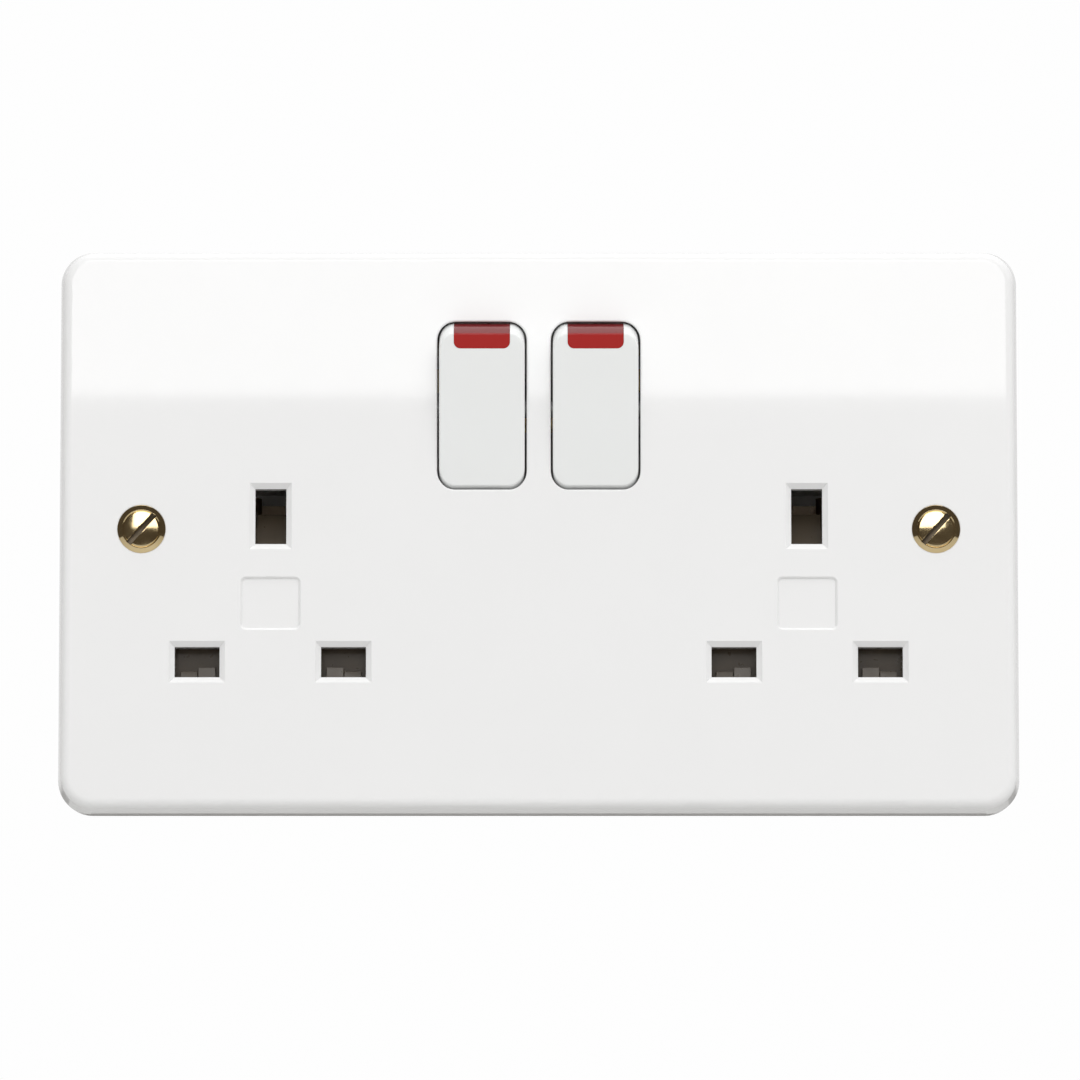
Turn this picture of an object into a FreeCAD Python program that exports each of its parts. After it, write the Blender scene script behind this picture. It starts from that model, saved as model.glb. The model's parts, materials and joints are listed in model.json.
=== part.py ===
import FreeCAD, Part
import math
import os
import Sketcher
from FreeCAD import Placement, Rotation, Vector

# Twin switched wall socket, in millimetres and degrees.
# X points right as seen from the front, Y into the wall, Z up.
# The origin lies on the wall plane, midway between the two fixing screws.

doc = FreeCAD.newDocument("twin_socket")

SIZES = {
    # front plate
    "plate_width": 146,
    "plate_height": 86,
    "plate_depth": 9,
    "plate_straight": 4,
    "face_draft": 8,
    "plate_corner": 5,
    "face_round": 1.6,
    "face_wall": 3,
    "rim_wall": 2.2,
    "hollow_corner": 3,
    "rib_wall": 1.2,
    "seat_height": 2.8,
    # fixing screws and their bosses
    "fixing_spacing": 120.6,
    "fixing_boss_radius": 4.5,
    "web_reach": 12,
    "web_depth": 3.5,
    "fixing_hole_radius": 1.95,
    "head_radius": 3.65,
    "disc_radius": 2.75,
    "ring_rise": 0.35,
    "disc_rise": 0.25,
    "head_depth": 2.05,
    "neck_radius": 1.4,
    "thread_radius": 1.75,
    "neck_end": 1,
    "thread_end": 15,
    "driver_slot": 1,
    "driver_depth": 0.9,
    "slot_turn": 48,
    "retainer_radius": 3.2,
    "retainer_thickness": 0.6,
    "retainer_well": 1.2,
    "head_clearance": 0.1,
    # pin entries
    "outlet_spacing": 81.4,
    "earth_rise": 2,
    "earth_to_line": 22.2,
    "pin_spacing": 22.2,
    "earth_slot_width": 4.7,
    "earth_slot_height": 8.4,
    "line_slot_width": 6.8,
    "line_slot_height": 4.6,
    "slot_bevel": 0.85,
    "recess_width": 8.6,
    "recess_height": 7.5,
    "recess_corner": 0.6,
    "recess_depth": 0.35,
    "recess_slope": 0.3,
    "recess_drop": 13.3,
    # rockers
    "rocker_spacing": 17.28,
    "rocker_rise": 18.9,
    "pivot_depth": 4.2,
    "rocker_width": 13,
    "rocker_radius": 13.25,
    "rocker_face": 6.5,
    "rocker_corner": 2.4,
    "rocker_wall": 1.4,
    "rocker_round": 0.3,
    "opening_round": 0.25,
    "rocker_end_wall": 2.35,
    "rocker_skirt": 1,
    "rocker_side_gap": 0.3,
    "rocker_end_gap": 0.35,
    "rocker_tilt": 7,
    "trunnion_radius": 1.3,
    "trunnion_length": 1.7,
    "bearing_clearance": 0.05,
    "bearing_wall": 1.8,
    "bearing_half_height": 4,
    "bearing_reach": 4.5,
    "lens_width": 8.5,
    "lens_length": 2.3,
    "lens_wall": 1.2,
    "lens_return": 5.5,
    "lens_corner": 1,
    "lens_fit": 0.02,
    # sprung plungers in the rockers
    "socket_radius": 3,
    "bore_radius": 2,
    "socket_reach": 4.5,
    "plunger_clearance": 0.1,
    "plunger_tail": 0.4,
    "plunger_taper": 6.4,
    "nose_radius": 1,
    "nose_reach": 10.4,
    "spigot_radius": 0.9,
    "spigot_length": 2,
    "plunger_spring_radius": 1.5,
    "spring_wire": 0.4,
    "spring_turns": 4,
    "plunger_travel": 0.4,
    # contact levers
    "lever_gap": 0.2,
    "lever_thickness": 0.8,
    "lever_width": 5.8,
    "lever_upper": 8.2,
    "lever_lower": 6.5,
    "lever_swing": 6,
    "tongue_width": 8.8,
    "tongue_height": 1.4,
    "tip_height": 6.2,
    "tip_radius": 1.5,
    "tip_thickness": 0.6,
    "shank_radius": 0.78,
    "shank_clearance": 0.02,
    "rivet_radius": 1.2,
    "rivet_thickness": 0.3,
    "tip_gap": 0.05,
    # metal strips and pin contacts
    "strip_thickness": 0.8,
    "strip_width": 3,
    "strip_step": 2.2,
    "line_strip_depth": 9.6,
    "clip_width": 6,
    "clip_half_gap": 2.4,
    "clip_pinch": 1.8,
    "clip_flare": 3,
    "clip_pinch_depth": 3.4,
    "clip_mouth_depth": 1.2,
    "earth_clip_height": 8,
    "line_leg_offset": 29.6,
    "arm_drop": 1.8,
    "arm_height": 3.6,
    "arm_overhang": 2.2,
    "neutral_bar_drop": 5.8,
    "line_link_drop": 6.8,
    "bar_width": 5,
    "cradle_half_width": 13.6,
    "cradle_half_height": 1.9,
    "tab_half_height": 1.5,
    "tab_gap": 0.4,
    "tab_reach": 3.4,
    "notch_half_height": 0.95,
    "notch_clearance": 0.1,
    # terminals
    "terminal_pitch": 14,
    "terminal_width": 9,
    "terminal_top": 18,
    "terminal_height": 10,
    "terminal_depth": 9,
    "terminal_bore_radius": 2.5,
    "terminal_bore_depth": 8.5,
    "terminal_screw_radius": 1.75,
    "terminal_screw_drop": 23.5,
    "terminal_head_radius": 2.7,
    "terminal_head_thickness": 1.6,
    "terminal_head_lift": 0.4,
    # mechanism housing
    "housing_floor": 14.7,
    "housing_wall": 1.8,
    "housing_bottom": 30,
    "housing_low_top": 11,
    "housing_mid_top": 9.5,
    "housing_top": 35.2,
    "housing_low_half": 58,
    "housing_mid_half": 50,
    "housing_top_half": 34,
    "housing_corner": 2,
    "rear_bevel": 0.6,
    "panel_depth": 0.6,
    "panel_rib": 1.5,
    "panel_half": 30,
    "panel_low": 14,
    "panel_high": 25,
    "side_panel_near": 33,
    "side_panel_far": 47,
    "side_panel_low": 8,
    "side_panel_high": 6.5,
    "well_radius": 3.8,
    "well_bore": 2.9,
    "well_seat": 2.4,
    "top_screw_offset": 24,
    "top_screw_rise": 31.4,
    "low_screw_drop": 22.4,
    "screw_boss_radius": 2.6,
    "tapping_radius": 1.4,
    "tapping_clearance": 0.05,
    "tapping_depth": 4.4,
    "tapping_head_radius": 2.6,
    "tapping_head_thickness": 1.7,
    "tapping_length": 6.4,
    "entry_half_width": 3.2,
    "entry_front": 7,
    "entry_rear": 13.4,
    "post_half_width": 2,
    "post_half_height": 1.2,
    # neon lamps
    "lamp_radius": 1.9,
    "lamp_rise": 27.2,
    "lamp_front": 5.5,
    "lamp_seat": 0.5,
    "lamp_clearance": 0.05,
    "shelf_depth": 2.8,
    "shelf_thickness": 1.5,
    "shelf_half_width": 13,
    "shelf_bottom": 24.4,
    "resistor_radius": 1.1,
    "resistor_length": 6,
    "resistor_offset": 16,
    "resistor_rise": 29.6,
    "resistor_depth": 6.5,
    "wire_radius": 0.3,
    # shutters
    "shutter_thickness": 2.1,
    "shutter_clearance": 0.3,
    "shutter_half_width": 15.2,
    "wing_rise": 2.9,
    "window_half_width": 3.5,
    "frame_half_width": 6,
    "window_top": 12,
    "crossbar_height": 2.5,
    "web_height": 1.7,
    "tongue_half_width": 2.4,
    "cam_half_width": 2.35,
    "cam_rise": 5.5,
    "cam_rear": 0.9,
    "cam_slot_gap": 0.2,
    "cam_root": 2.3,
    "guide_gap": 0.2,
    "guide_bottom": 28,
    "guide_top": 7,
    "catch_pocket_depth": 1.3,
    "catch_pocket_half_width": 3.6,
    "catch_width": 2.6,
    "catch_split": 0.1,
    "low_catch": 1.15,
    "high_catch": 1.75,
    "catch_lean": 0.35,
    "shutter_spring_radius": 0.75,
    "shutter_spring_wire": 0.35,
    "shutter_travel": 5.5,
}

sheet = doc.addObject("Spreadsheet::Sheet", "Sizes")
for row, (alias, number) in enumerate(SIZES.items(), start=1):
    sheet.set(f"A{row}", alias.replace("_", " "))
    sheet.set(f"B{row}", str(number))
    sheet.setAlias(f"B{row}", alias)
doc.recompute()


class Size:
    """A value worked out from the sheet: its number now, and the expression that keeps it bound."""

    def __init__(self, number, text):
        self.number = number
        self.text = text

    def __add__(self, other):
        other = as_size(other)
        return Size(self.number + other.number, f"({self.text} + {other.text})")

    def __sub__(self, other):
        other = as_size(other)
        return Size(self.number - other.number, f"({self.text} - {other.text})")

    def __mul__(self, other):
        other = as_size(other)
        return Size(self.number * other.number, f"({self.text} * {other.text})")

    def __truediv__(self, other):
        other = as_size(other)
        return Size(self.number / other.number, f"({self.text} / {other.text})")

    def __neg__(self):
        return Size(-self.number, f"(0 - {self.text})")

    __radd__ = __add__
    __rmul__ = __mul__


def as_size(value):
    if isinstance(value, Size):
        return value
    return Size(float(value), f"({float(value)})")


def root(value):
    return Size(math.sqrt(value.number), f"sqrt({value.text})")


def cosine(angle):
    return Size(math.cos(math.radians(angle.number)), f"cos({angle.text})")


def sine(angle):
    return Size(math.sin(math.radians(angle.number)), f"sin({angle.text})")


class Sheet:
    """Reads a cell of the sheet by its alias."""

    def __getattr__(self, alias):
        return Size(float(sheet.get(alias)), f"Sizes.{alias}")


at = Sheet()


def bind(item, path, value):
    """Binds one property of an object to an expression, or leaves it at zero."""
    value = as_size(value)
    if value.text != "(0.0)":
        item.setExpression(path, value.text)


# World direction of each origin plane's normal, and how a world point maps to the plane's own axes
NORMALS = {"XY_Plane": 1, "XZ_Plane": -1, "YZ_Plane": 1}


def plane_offset(plane, point):
    across, into, up = point
    if plane == "XY_Plane":
        return across, into, up
    if plane == "XZ_Plane":
        return across, up, -as_size(into)
    return into, up, across


def outline(sketch, points, centres=None):
    """Closes a loop through the points. The edge that starts at a point in centres is an arc about its centre."""
    centres = centres or {}
    spots = [Vector(as_size(x).number, as_size(y).number, 0) for x, y in points]
    first = sketch.GeometryCount
    ends = []
    radii = []
    for index, spot in enumerate(spots):
        following = spots[(index + 1) % len(spots)]
        if index not in centres:
            sketch.addGeometry(Part.LineSegment(spot, following))
            ends.append((1, 2))
            continue
        middle = Vector(as_size(centres[index][0]).number, as_size(centres[index][1]).number, 0)
        from_middle = spot - middle
        to_middle = following - middle
        start = math.atan2(from_middle.y, from_middle.x)
        stop = math.atan2(to_middle.y, to_middle.x)
        turns_left = from_middle.cross(to_middle).z > 0
        circle = Part.Circle(middle, Vector(0, 0, 1), from_middle.Length)
        if turns_left:
            sketch.addGeometry(Part.ArcOfCircle(circle, start, stop))
            ends.append((1, 2))
        else:
            sketch.addGeometry(Part.ArcOfCircle(circle, stop, start))
            ends.append((2, 1))
        radii.append((first + index, centres[index][2]))
    joints = []
    for index in range(len(spots)):
        following = (index + 1) % len(spots)
        joints.append(
            Sketcher.Constraint("Coincident", first + index, ends[index][1], first + following, ends[following][0])
        )
    sketch.addConstraint(joints)
    for index, (x, y) in enumerate(points):
        place(sketch, first + index, ends[index][0], x, y)
    for edge, radius in radii:
        number = sketch.addConstraint(Sketcher.Constraint("Radius", edge, radius.number))
        bind(sketch, f"Constraints[{number}]", radius)


def place(sketch, edge, end, x, y):
    """Fixes one end of an edge, or a centre, to its distances from the sketch's origin."""
    for kind, value, axis in (("DistanceX", as_size(x), -2), ("DistanceY", as_size(y), -1)):
        if value.text == "(0.0)":
            sketch.addConstraint(Sketcher.Constraint("PointOnObject", edge, end, axis))
            continue
        number = sketch.addConstraint(Sketcher.Constraint(kind, -1, 1, edge, end, value.number))
        bind(sketch, f"Constraints[{number}]", value)


def circle(sketch, x, y, radius):
    middle = Vector(as_size(x).number, as_size(y).number, 0)
    edge = sketch.addGeometry(Part.Circle(middle, Vector(0, 0, 1), radius.number))
    place(sketch, edge, 3, x, y)
    number = sketch.addConstraint(Sketcher.Constraint("Radius", edge, radius.number))
    bind(sketch, f"Constraints[{number}]", radius)


def rectangle(sketch, left, right, low, high):
    outline(sketch, [(left, low), (right, low), (right, high), (left, high)])


def rounded_rectangle(sketch, left, right, low, high, corner):
    points = [
        (left + corner, low),
        (right - corner, low),
        (right, low + corner),
        (right, high - corner),
        (right - corner, high),
        (left + corner, high),
        (left, high - corner),
        (left, low + corner),
    ]
    centres = {
        1: (right - corner, low + corner, corner),
        3: (right - corner, high - corner, corner),
        5: (left + corner, high - corner, corner),
        7: (left + corner, low + corner, corner),
    }
    outline(sketch, points, centres)


class Piece:
    """One piece of the socket: a body and the features that shape it, in order."""

    def __init__(self, label):
        self.body = doc.addObject("PartDesign::Body", label)
        self.body.Label = label
        self.count = 0

    def name(self, word):
        self.count += 1
        return f"{self.body.Label}_{word}_{self.count}"

    def sketch(self, plane, across=0, into=0, up=0):
        """An empty sketch on an origin plane, with its origin at a point of the piece's own frame."""
        sketch = self.body.newObject("Sketcher::SketchObject", self.name("sketch"))
        support = next(item for item in self.body.Origin.OriginFeatures if item.Role == plane)
        sketch.AttachmentSupport = [(support, "")]
        sketch.MapMode = "FlatFace"
        offset = plane_offset(plane, (across, into, up))
        for axis, value in zip("xyz", offset):
            bind(sketch, f"AttachmentOffset.Base.{axis}", value)
        sketch.Visibility = False
        self.plane = plane
        return sketch

    def extrude(self, kind, sketch, length, towards, midplane, draft):
        feature = self.body.newObject(f"PartDesign::{kind}", self.name(kind.lower()))
        feature.Profile = sketch
        bind(feature, "Length", length)
        if midplane:
            feature.SideType = "Symmetric"
        along_normal = towards == NORMALS[self.plane]
        feature.Reversed = along_normal if kind == "Pocket" else not along_normal
        if draft is not None:
            bind(feature, "TaperAngle", draft)
        return feature

    def pad(self, sketch, length, towards=1, midplane=False, draft=None):
        """Adds the sketch's profile, towards the plus or minus end of the world axis it faces."""
        self.extrude("Pad", sketch, length, towards, midplane, draft)
        self.settle(grows=True)

    def pocket(self, sketch, length, towards=1, midplane=False):
        """Cuts the sketch's profile away, in the same directions as a pad."""
        self.extrude("Pocket", sketch, length, towards, midplane, None)
        self.settle(grows=False)

    def turn(self, kind, sketch, axis):
        feature = self.body.newObject(f"PartDesign::{kind}", self.name(kind.lower()))
        feature.Profile = sketch
        feature.ReferenceAxis = (sketch, [axis])
        feature.Angle = 360
        self.settle(grows=kind == "Revolution")

    def round_edges(self, radius, chosen):
        self.dress("Fillet", "Radius", radius, chosen)

    def bevel_edges(self, size, chosen):
        self.dress("Chamfer", "Size", size, chosen)

    def dress(self, kind, dimension, value, chosen):
        base = self.body.Tip
        names = [f"Edge{number}" for number, edge in enumerate(base.Shape.Edges, start=1) if chosen(edge)]
        if not names:
            raise RuntimeError(f"{self.body.Label} has no edge for its {kind}")
        feature = self.body.newObject(f"PartDesign::{kind}", self.name(kind.lower()))
        feature.Base = (base, names)
        bind(feature, dimension, value)
        doc.recompute()
        check_state(feature)

    def settle(self, grows):
        """Recomputes, and makes sure that the last feature did its work."""
        before = 0 if self.body.Tip.BaseFeature is None else self.body.Tip.BaseFeature.Shape.Volume
        doc.recompute()
        check_state(self.body.Tip)
        change = self.body.Tip.Shape.Volume - before
        if (change <= 0) == grows:
            raise RuntimeError(f"{self.body.Tip.Name} changed nothing")

    def move(self, across, into, up, tilt=None):
        """Places the piece, tilted about the X axis through its own origin."""
        if tilt is not None:
            self.body.Placement = Placement(Vector(0, 0, 0), Rotation(Vector(1, 0, 0), 1))
            bind(self.body, "Placement.Rotation.Angle", tilt)
        for axis, value in zip("xyz", (across, into, up)):
            bind(self.body, f"Placement.Base.{axis}", value)
        doc.recompute()


def check_state(item):
    if "Invalid" in item.State or "Error" in item.State:
        raise RuntimeError(f"{item.Name} did not build: {item.State}")


def inside(edge, low, high):
    """True if the whole edge lies in the box between two corners."""
    box = edge.BoundBox
    near = 0.01
    return (
        box.XMin > low[0] - near
        and box.XMax < high[0] + near
        and box.YMin > low[1] - near
        and box.YMax < high[1] + near
        and box.ZMin > low[2] - near
        and box.ZMax < high[2] + near
    )


def runs_along(edge, axis):
    """True if the edge is straight and keeps within ten degrees of a world axis."""
    if edge.Curve.TypeId != "Part::GeomLine":
        return False
    way = edge.tangentAt(edge.FirstParameter)
    return abs(way.dot(axis)) > math.cos(math.radians(10))


def group(label, pieces):
    """Loose pieces of one kind, kept together as separate solids."""
    holder = doc.addObject("Part::Compound", label)
    holder.Label = label
    holder.Links = [piece.body for piece in pieces]
    doc.recompute()
    return holder


def bent_wire(points, radius, sides):
    """A wire of polygonal section that follows the points with mitred corners."""
    first = points[1] - points[0]
    first.normalize()
    side = first.cross(Vector(0, 0, 1))
    if side.Length < 0.1:
        side = first.cross(Vector(1, 0, 0))
    side.normalize()
    up = first.cross(side)
    ring = []
    for step in range(sides):
        turn = 2 * math.pi * (step + 0.5) / sides
        ring.append(points[0] + side * (radius * math.cos(turn)) + up * (radius * math.sin(turn)))
    ring.append(ring[0])
    shell = Part.BRepOffsetAPI.MakePipeShell(Part.makePolygon(points))
    shell.setTransitionMode(1)
    shell.add(Part.makePolygon(ring))
    shell.build()
    shell.makeSolid()
    return shell.shape()


def coil(radius, wire, length, turns):
    """A compression spring along Z from the origin, six straight steps to each turn."""
    steps_per_turn = 6
    steps = int(round(turns * steps_per_turn))
    rise = (length - wire) / steps
    points = []
    for step in range(steps + 1):
        turn = 2 * math.pi * step / steps_per_turn
        points.append(Vector(radius * math.cos(turn), radius * math.sin(turn), wire / 2 + rise * step))
    return bent_wire(points, wire / 2, 4)


def feature(label, shape, place=None):
    item = doc.addObject("Part::Feature", label)
    item.Label = label
    item.Shape = shape
    if place is not None:
        item.Placement = place
    return item


SIDES = {"left": -1, "right": 1}

# Depths, measured from the wall plane: negative in front of it, positive in the wall box
face = -at.plate_depth
inner_face = face + at.face_wall
seat = inner_face + at.seat_height
floor = at.housing_floor
rear = floor + at.housing_wall
pivot = -at.pivot_depth
line_front = at.line_strip_depth
line_back = line_front + at.strip_thickness
neutral_front = line_front + at.strip_step
neutral_back = neutral_front + at.strip_thickness
earth_front = floor - at.strip_thickness
lever_pivot = pivot + at.nose_reach + at.lever_gap + at.lever_thickness / 2

# Heights and offsets
earth_up = at.earth_rise
line_up = earth_up - at.earth_to_line
outlets = {side: at.outlet_spacing / 2 * sign for side, sign in SIDES.items()}
rockers = {side: at.rocker_spacing / 2 * sign for side, sign in SIDES.items()}
pins = {-1: -at.pin_spacing / 2, 1: at.pin_spacing / 2}
tip_up = at.rocker_rise + at.tip_height * cosine(at.lever_swing)
terminals = {
    "left_earth_terminal": at.terminal_pitch * -1.5,
    "neutral_terminal": at.terminal_pitch * -0.5,
    "line_terminal": at.terminal_pitch * 0.5,
    "right_earth_terminal": at.terminal_pitch * 1.5,
}
housing_screws = [
    (-at.top_screw_offset, at.top_screw_rise),
    (at.top_screw_offset, at.top_screw_rise),
    (outlets["left"], -at.low_screw_drop),
    (outlets["right"], -at.low_screw_drop),
]


def wheel_profile(sketch, half_width, radius, corner):
    """Half section of a wheel about the sketch's horizontal axis, with rounded rims."""
    points = [
        (-half_width, 0),
        (half_width, 0),
        (half_width, radius - corner),
        (half_width - corner, radius),
        (corner - half_width, radius),
        (-half_width, radius - corner),
    ]
    centres = {
        2: (half_width - corner, radius - corner, corner),
        4: (corner - half_width, radius - corner, corner),
    }
    outline(sketch, points, centres)


def front_plate():
    """The moulded front: outer form, hollow, bosses and ribs, then every opening."""
    plate = Piece("front_plate")
    half_width = at.plate_width / 2
    half_height = at.plate_height / 2

    sketch = plate.sketch("XZ_Plane")
    rectangle(sketch, -half_width, half_width, -half_height, half_height)
    plate.pad(sketch, at.plate_straight, towards=-1)
    sketch = plate.sketch("XZ_Plane", into=-at.plate_straight)
    rectangle(sketch, -half_width, half_width, -half_height, half_height)
    plate.pad(sketch, at.plate_depth - at.plate_straight, towards=-1, draft=-at.face_draft)
    plate.round_edges(at.plate_corner, lambda edge: runs_along(edge, Vector(0, 1, 0)) or is_corner_edge(edge))
    wide = (-half_width.number, face.number, -half_height.number)
    tall = (half_width.number, face.number, half_height.number)
    plate.round_edges(at.face_round, lambda edge: inside(edge, wide, tall))

    sketch = plate.sketch("XZ_Plane")
    inner_width = half_width - at.rim_wall
    inner_height = half_height - at.rim_wall
    rounded_rectangle(sketch, -inner_width, inner_width, -inner_height, inner_height, at.hollow_corner)
    plate.pocket(sketch, at.plate_depth - at.face_wall, towards=-1)

    sketch = plate.sketch("XZ_Plane", into=inner_face)
    for sign in SIDES.values():
        circle(sketch, at.fixing_spacing / 2 * sign, 0, at.fixing_boss_radius)
    plate.pad(sketch, -inner_face)
    boss_webs(plate, inner_width)
    sketch = plate.sketch("XZ_Plane", into=inner_face)
    for across, up in housing_screws:
        circle(sketch, across, up, at.screw_boss_radius)
    plate.pad(sketch, at.seat_height)
    shutter_guides(plate)
    rocker_bearings(plate)

    for across, up in housing_screws:
        sketch = plate.sketch("XZ_Plane", into=seat)
        circle(sketch, across, up, at.tapping_radius + at.tapping_clearance)
        plate.pocket(sketch, at.tapping_depth, towards=-1)
    for sign in SIDES.values():
        fixing_hole(plate, at.fixing_spacing / 2 * sign)
    for side in SIDES:
        rocker_opening(plate, rockers[side])
        pin_entries(plate, outlets[side])
    return plate


def is_corner_edge(edge):
    """True for the four slanted corner edges of the drafted front."""
    return edge.BoundBox.YLength > 1 and edge.BoundBox.XLength < 1.5 and edge.BoundBox.ZLength < 1.5


def boss_webs(plate, wall):
    """Webs that stiffen each fixing boss: one to the side wall, one above and one below."""
    half = at.rib_wall / 2
    middle = at.fixing_spacing / 2
    near = at.fixing_boss_radius - half
    sketch = plate.sketch("XZ_Plane", into=inner_face)
    rectangle(sketch, -wall - half, -middle - near, -half, half)
    rectangle(sketch, middle + near, wall + half, -half, half)
    for sign in SIDES.values():
        left = middle * sign - half
        right = middle * sign + half
        rectangle(sketch, left, right, near, at.web_reach)
        rectangle(sketch, left, right, -at.web_reach, -near)
    plate.pad(sketch, at.web_depth)


def shutter_guides(plate):
    """Two upright ribs beside each shutter, which slides between them."""
    reach = at.shutter_half_width + at.guide_gap
    for across in outlets.values():
        for sign in (-1, 1):
            near = across + reach * sign
            far = across + (reach + at.rib_wall) * sign
            left, right = (near, far) if sign > 0 else (far, near)
            sketch = plate.sketch("XZ_Plane", into=inner_face)
            rectangle(sketch, left, right, -at.guide_bottom, -at.guide_top)
            plate.pad(sketch, at.seat_height)


def rocker_bearings(plate):
    """Three walls with slots open to the rear, in which the rockers' trunnions turn."""
    side = at.rocker_width / 2 + at.rocker_side_gap
    inner = at.rocker_spacing / 2 - side
    outer = at.rocker_spacing / 2 + side
    low = at.rocker_rise - at.bearing_half_height
    high = at.rocker_rise + at.bearing_half_height
    spans = [(-inner, inner), (outer, outer + at.bearing_wall), (-outer - at.bearing_wall, -outer)]
    for left, right in spans:
        sketch = plate.sketch("XZ_Plane", into=inner_face)
        rectangle(sketch, left, right, low, high)
        plate.pad(sketch, at.bearing_reach)
    radius = at.trunnion_radius + at.bearing_clearance
    mouth = inner_face + at.bearing_reach
    sketch = plate.sketch("YZ_Plane", into=pivot, up=at.rocker_rise)
    outline(
        sketch,
        [(0, -radius), (mouth - pivot, -radius), (mouth - pivot, radius), (0, radius), (-radius, 0)],
        {3: (0, 0, radius), 4: (0, 0, radius)},
    )
    plate.pocket(sketch, (outer + at.bearing_wall) * 2, midplane=True)


def fixing_hole(plate, across):
    """A countersunk hole through the boss, with a shallow well at the rear for the retaining washer."""
    sketch = plate.sketch("XY_Plane", across=across)
    rim = at.head_radius + at.head_clearance
    cone = at.head_depth / (at.head_radius - at.neck_radius) * (rim - at.fixing_hole_radius)
    well = at.retainer_radius + at.head_clearance
    outline(
        sketch,
        [
            (0, face),
            (rim, face),
            (at.fixing_hole_radius, face + cone),
            (at.fixing_hole_radius, -at.retainer_well),
            (well, -at.retainer_well),
            (well, 0),
            (0, 0),
        ],
    )
    plate.turn("Groove", sketch, "V_Axis")


def rocker_opening(plate, across):
    """The rocker's opening: its ends are arcs about the pivot, a gap outside the rocker's own."""
    sketch = plate.sketch("XZ_Plane", across=across, into=pivot, up=at.rocker_rise)
    corner = at.rocker_corner + at.rocker_side_gap
    half_width = at.rocker_width / 2 + at.rocker_side_gap
    wheel_profile(sketch, half_width, at.rocker_radius + at.rocker_end_gap, corner)
    plate.turn("Groove", sketch, "H_Axis")
    reach = half_width.number + 0.1
    low = (across.number - reach, face.number, at.rocker_rise.number - at.rocker_radius.number)
    high = (across.number + reach, face.number, at.rocker_rise.number + at.rocker_radius.number)
    plate.round_edges(at.opening_round, lambda edge: inside(edge, low, high))


def pin_entries(plate, across):
    """Earth, neutral and line slots with bevelled mouths, and the shallow bare recess between them."""
    slots = [(across, earth_up, at.earth_slot_width / 2, at.earth_slot_height / 2)]
    for offset in pins.values():
        slots.append((across + offset, line_up, at.line_slot_width / 2, at.line_slot_height / 2))
    sketch = plate.sketch("XZ_Plane", into=face)
    for x, z, half_width, half_height in slots:
        rectangle(sketch, x - half_width, x + half_width, z - half_height, z + half_height)
    plate.pocket(sketch, at.face_wall)
    boxes = []
    for x, z, half_width, half_height in slots:
        low = (x.number - half_width.number, face.number, z.number - half_height.number)
        high = (x.number + half_width.number, face.number, z.number + half_height.number)
        boxes.append((low, high))
    plate.bevel_edges(at.slot_bevel, lambda edge: any(inside(edge, low, high) for low, high in boxes))
    sketch = plate.sketch("XZ_Plane", into=face)
    middle = earth_up - at.recess_drop
    half_width = at.recess_width / 2
    half_height = at.recess_height / 2
    left, right = across - half_width, across + half_width
    bottom, top = middle - half_height, middle + half_height
    rounded_rectangle(sketch, left, right, bottom, top, at.recess_corner)
    plate.pocket(sketch, at.recess_depth)
    recess_low = (left.number, face.number, bottom.number)
    recess_high = (right.number, face.number, top.number)
    plate.bevel_edges(at.recess_slope, lambda edge: inside(edge, recess_low, recess_high))


def housing_outline(sketch, inset):
    """The stepped outline of the rear moulding: wide over the pins, narrow over the switches."""
    low = at.housing_low_half - inset
    mid = at.housing_mid_half - inset
    top = at.housing_top_half - inset
    bottom = inset - at.housing_bottom
    low_top = -at.housing_low_top - inset
    mid_top = at.housing_mid_top - inset
    peak = at.housing_top - inset
    outline(
        sketch,
        [
            (-low, bottom),
            (low, bottom),
            (low, low_top),
            (mid, low_top),
            (mid, mid_top),
            (top, mid_top),
            (top, peak),
            (-top, peak),
            (-top, mid_top),
            (-mid, mid_top),
            (-mid, low_top),
            (-low, low_top),
        ],
    )


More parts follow.
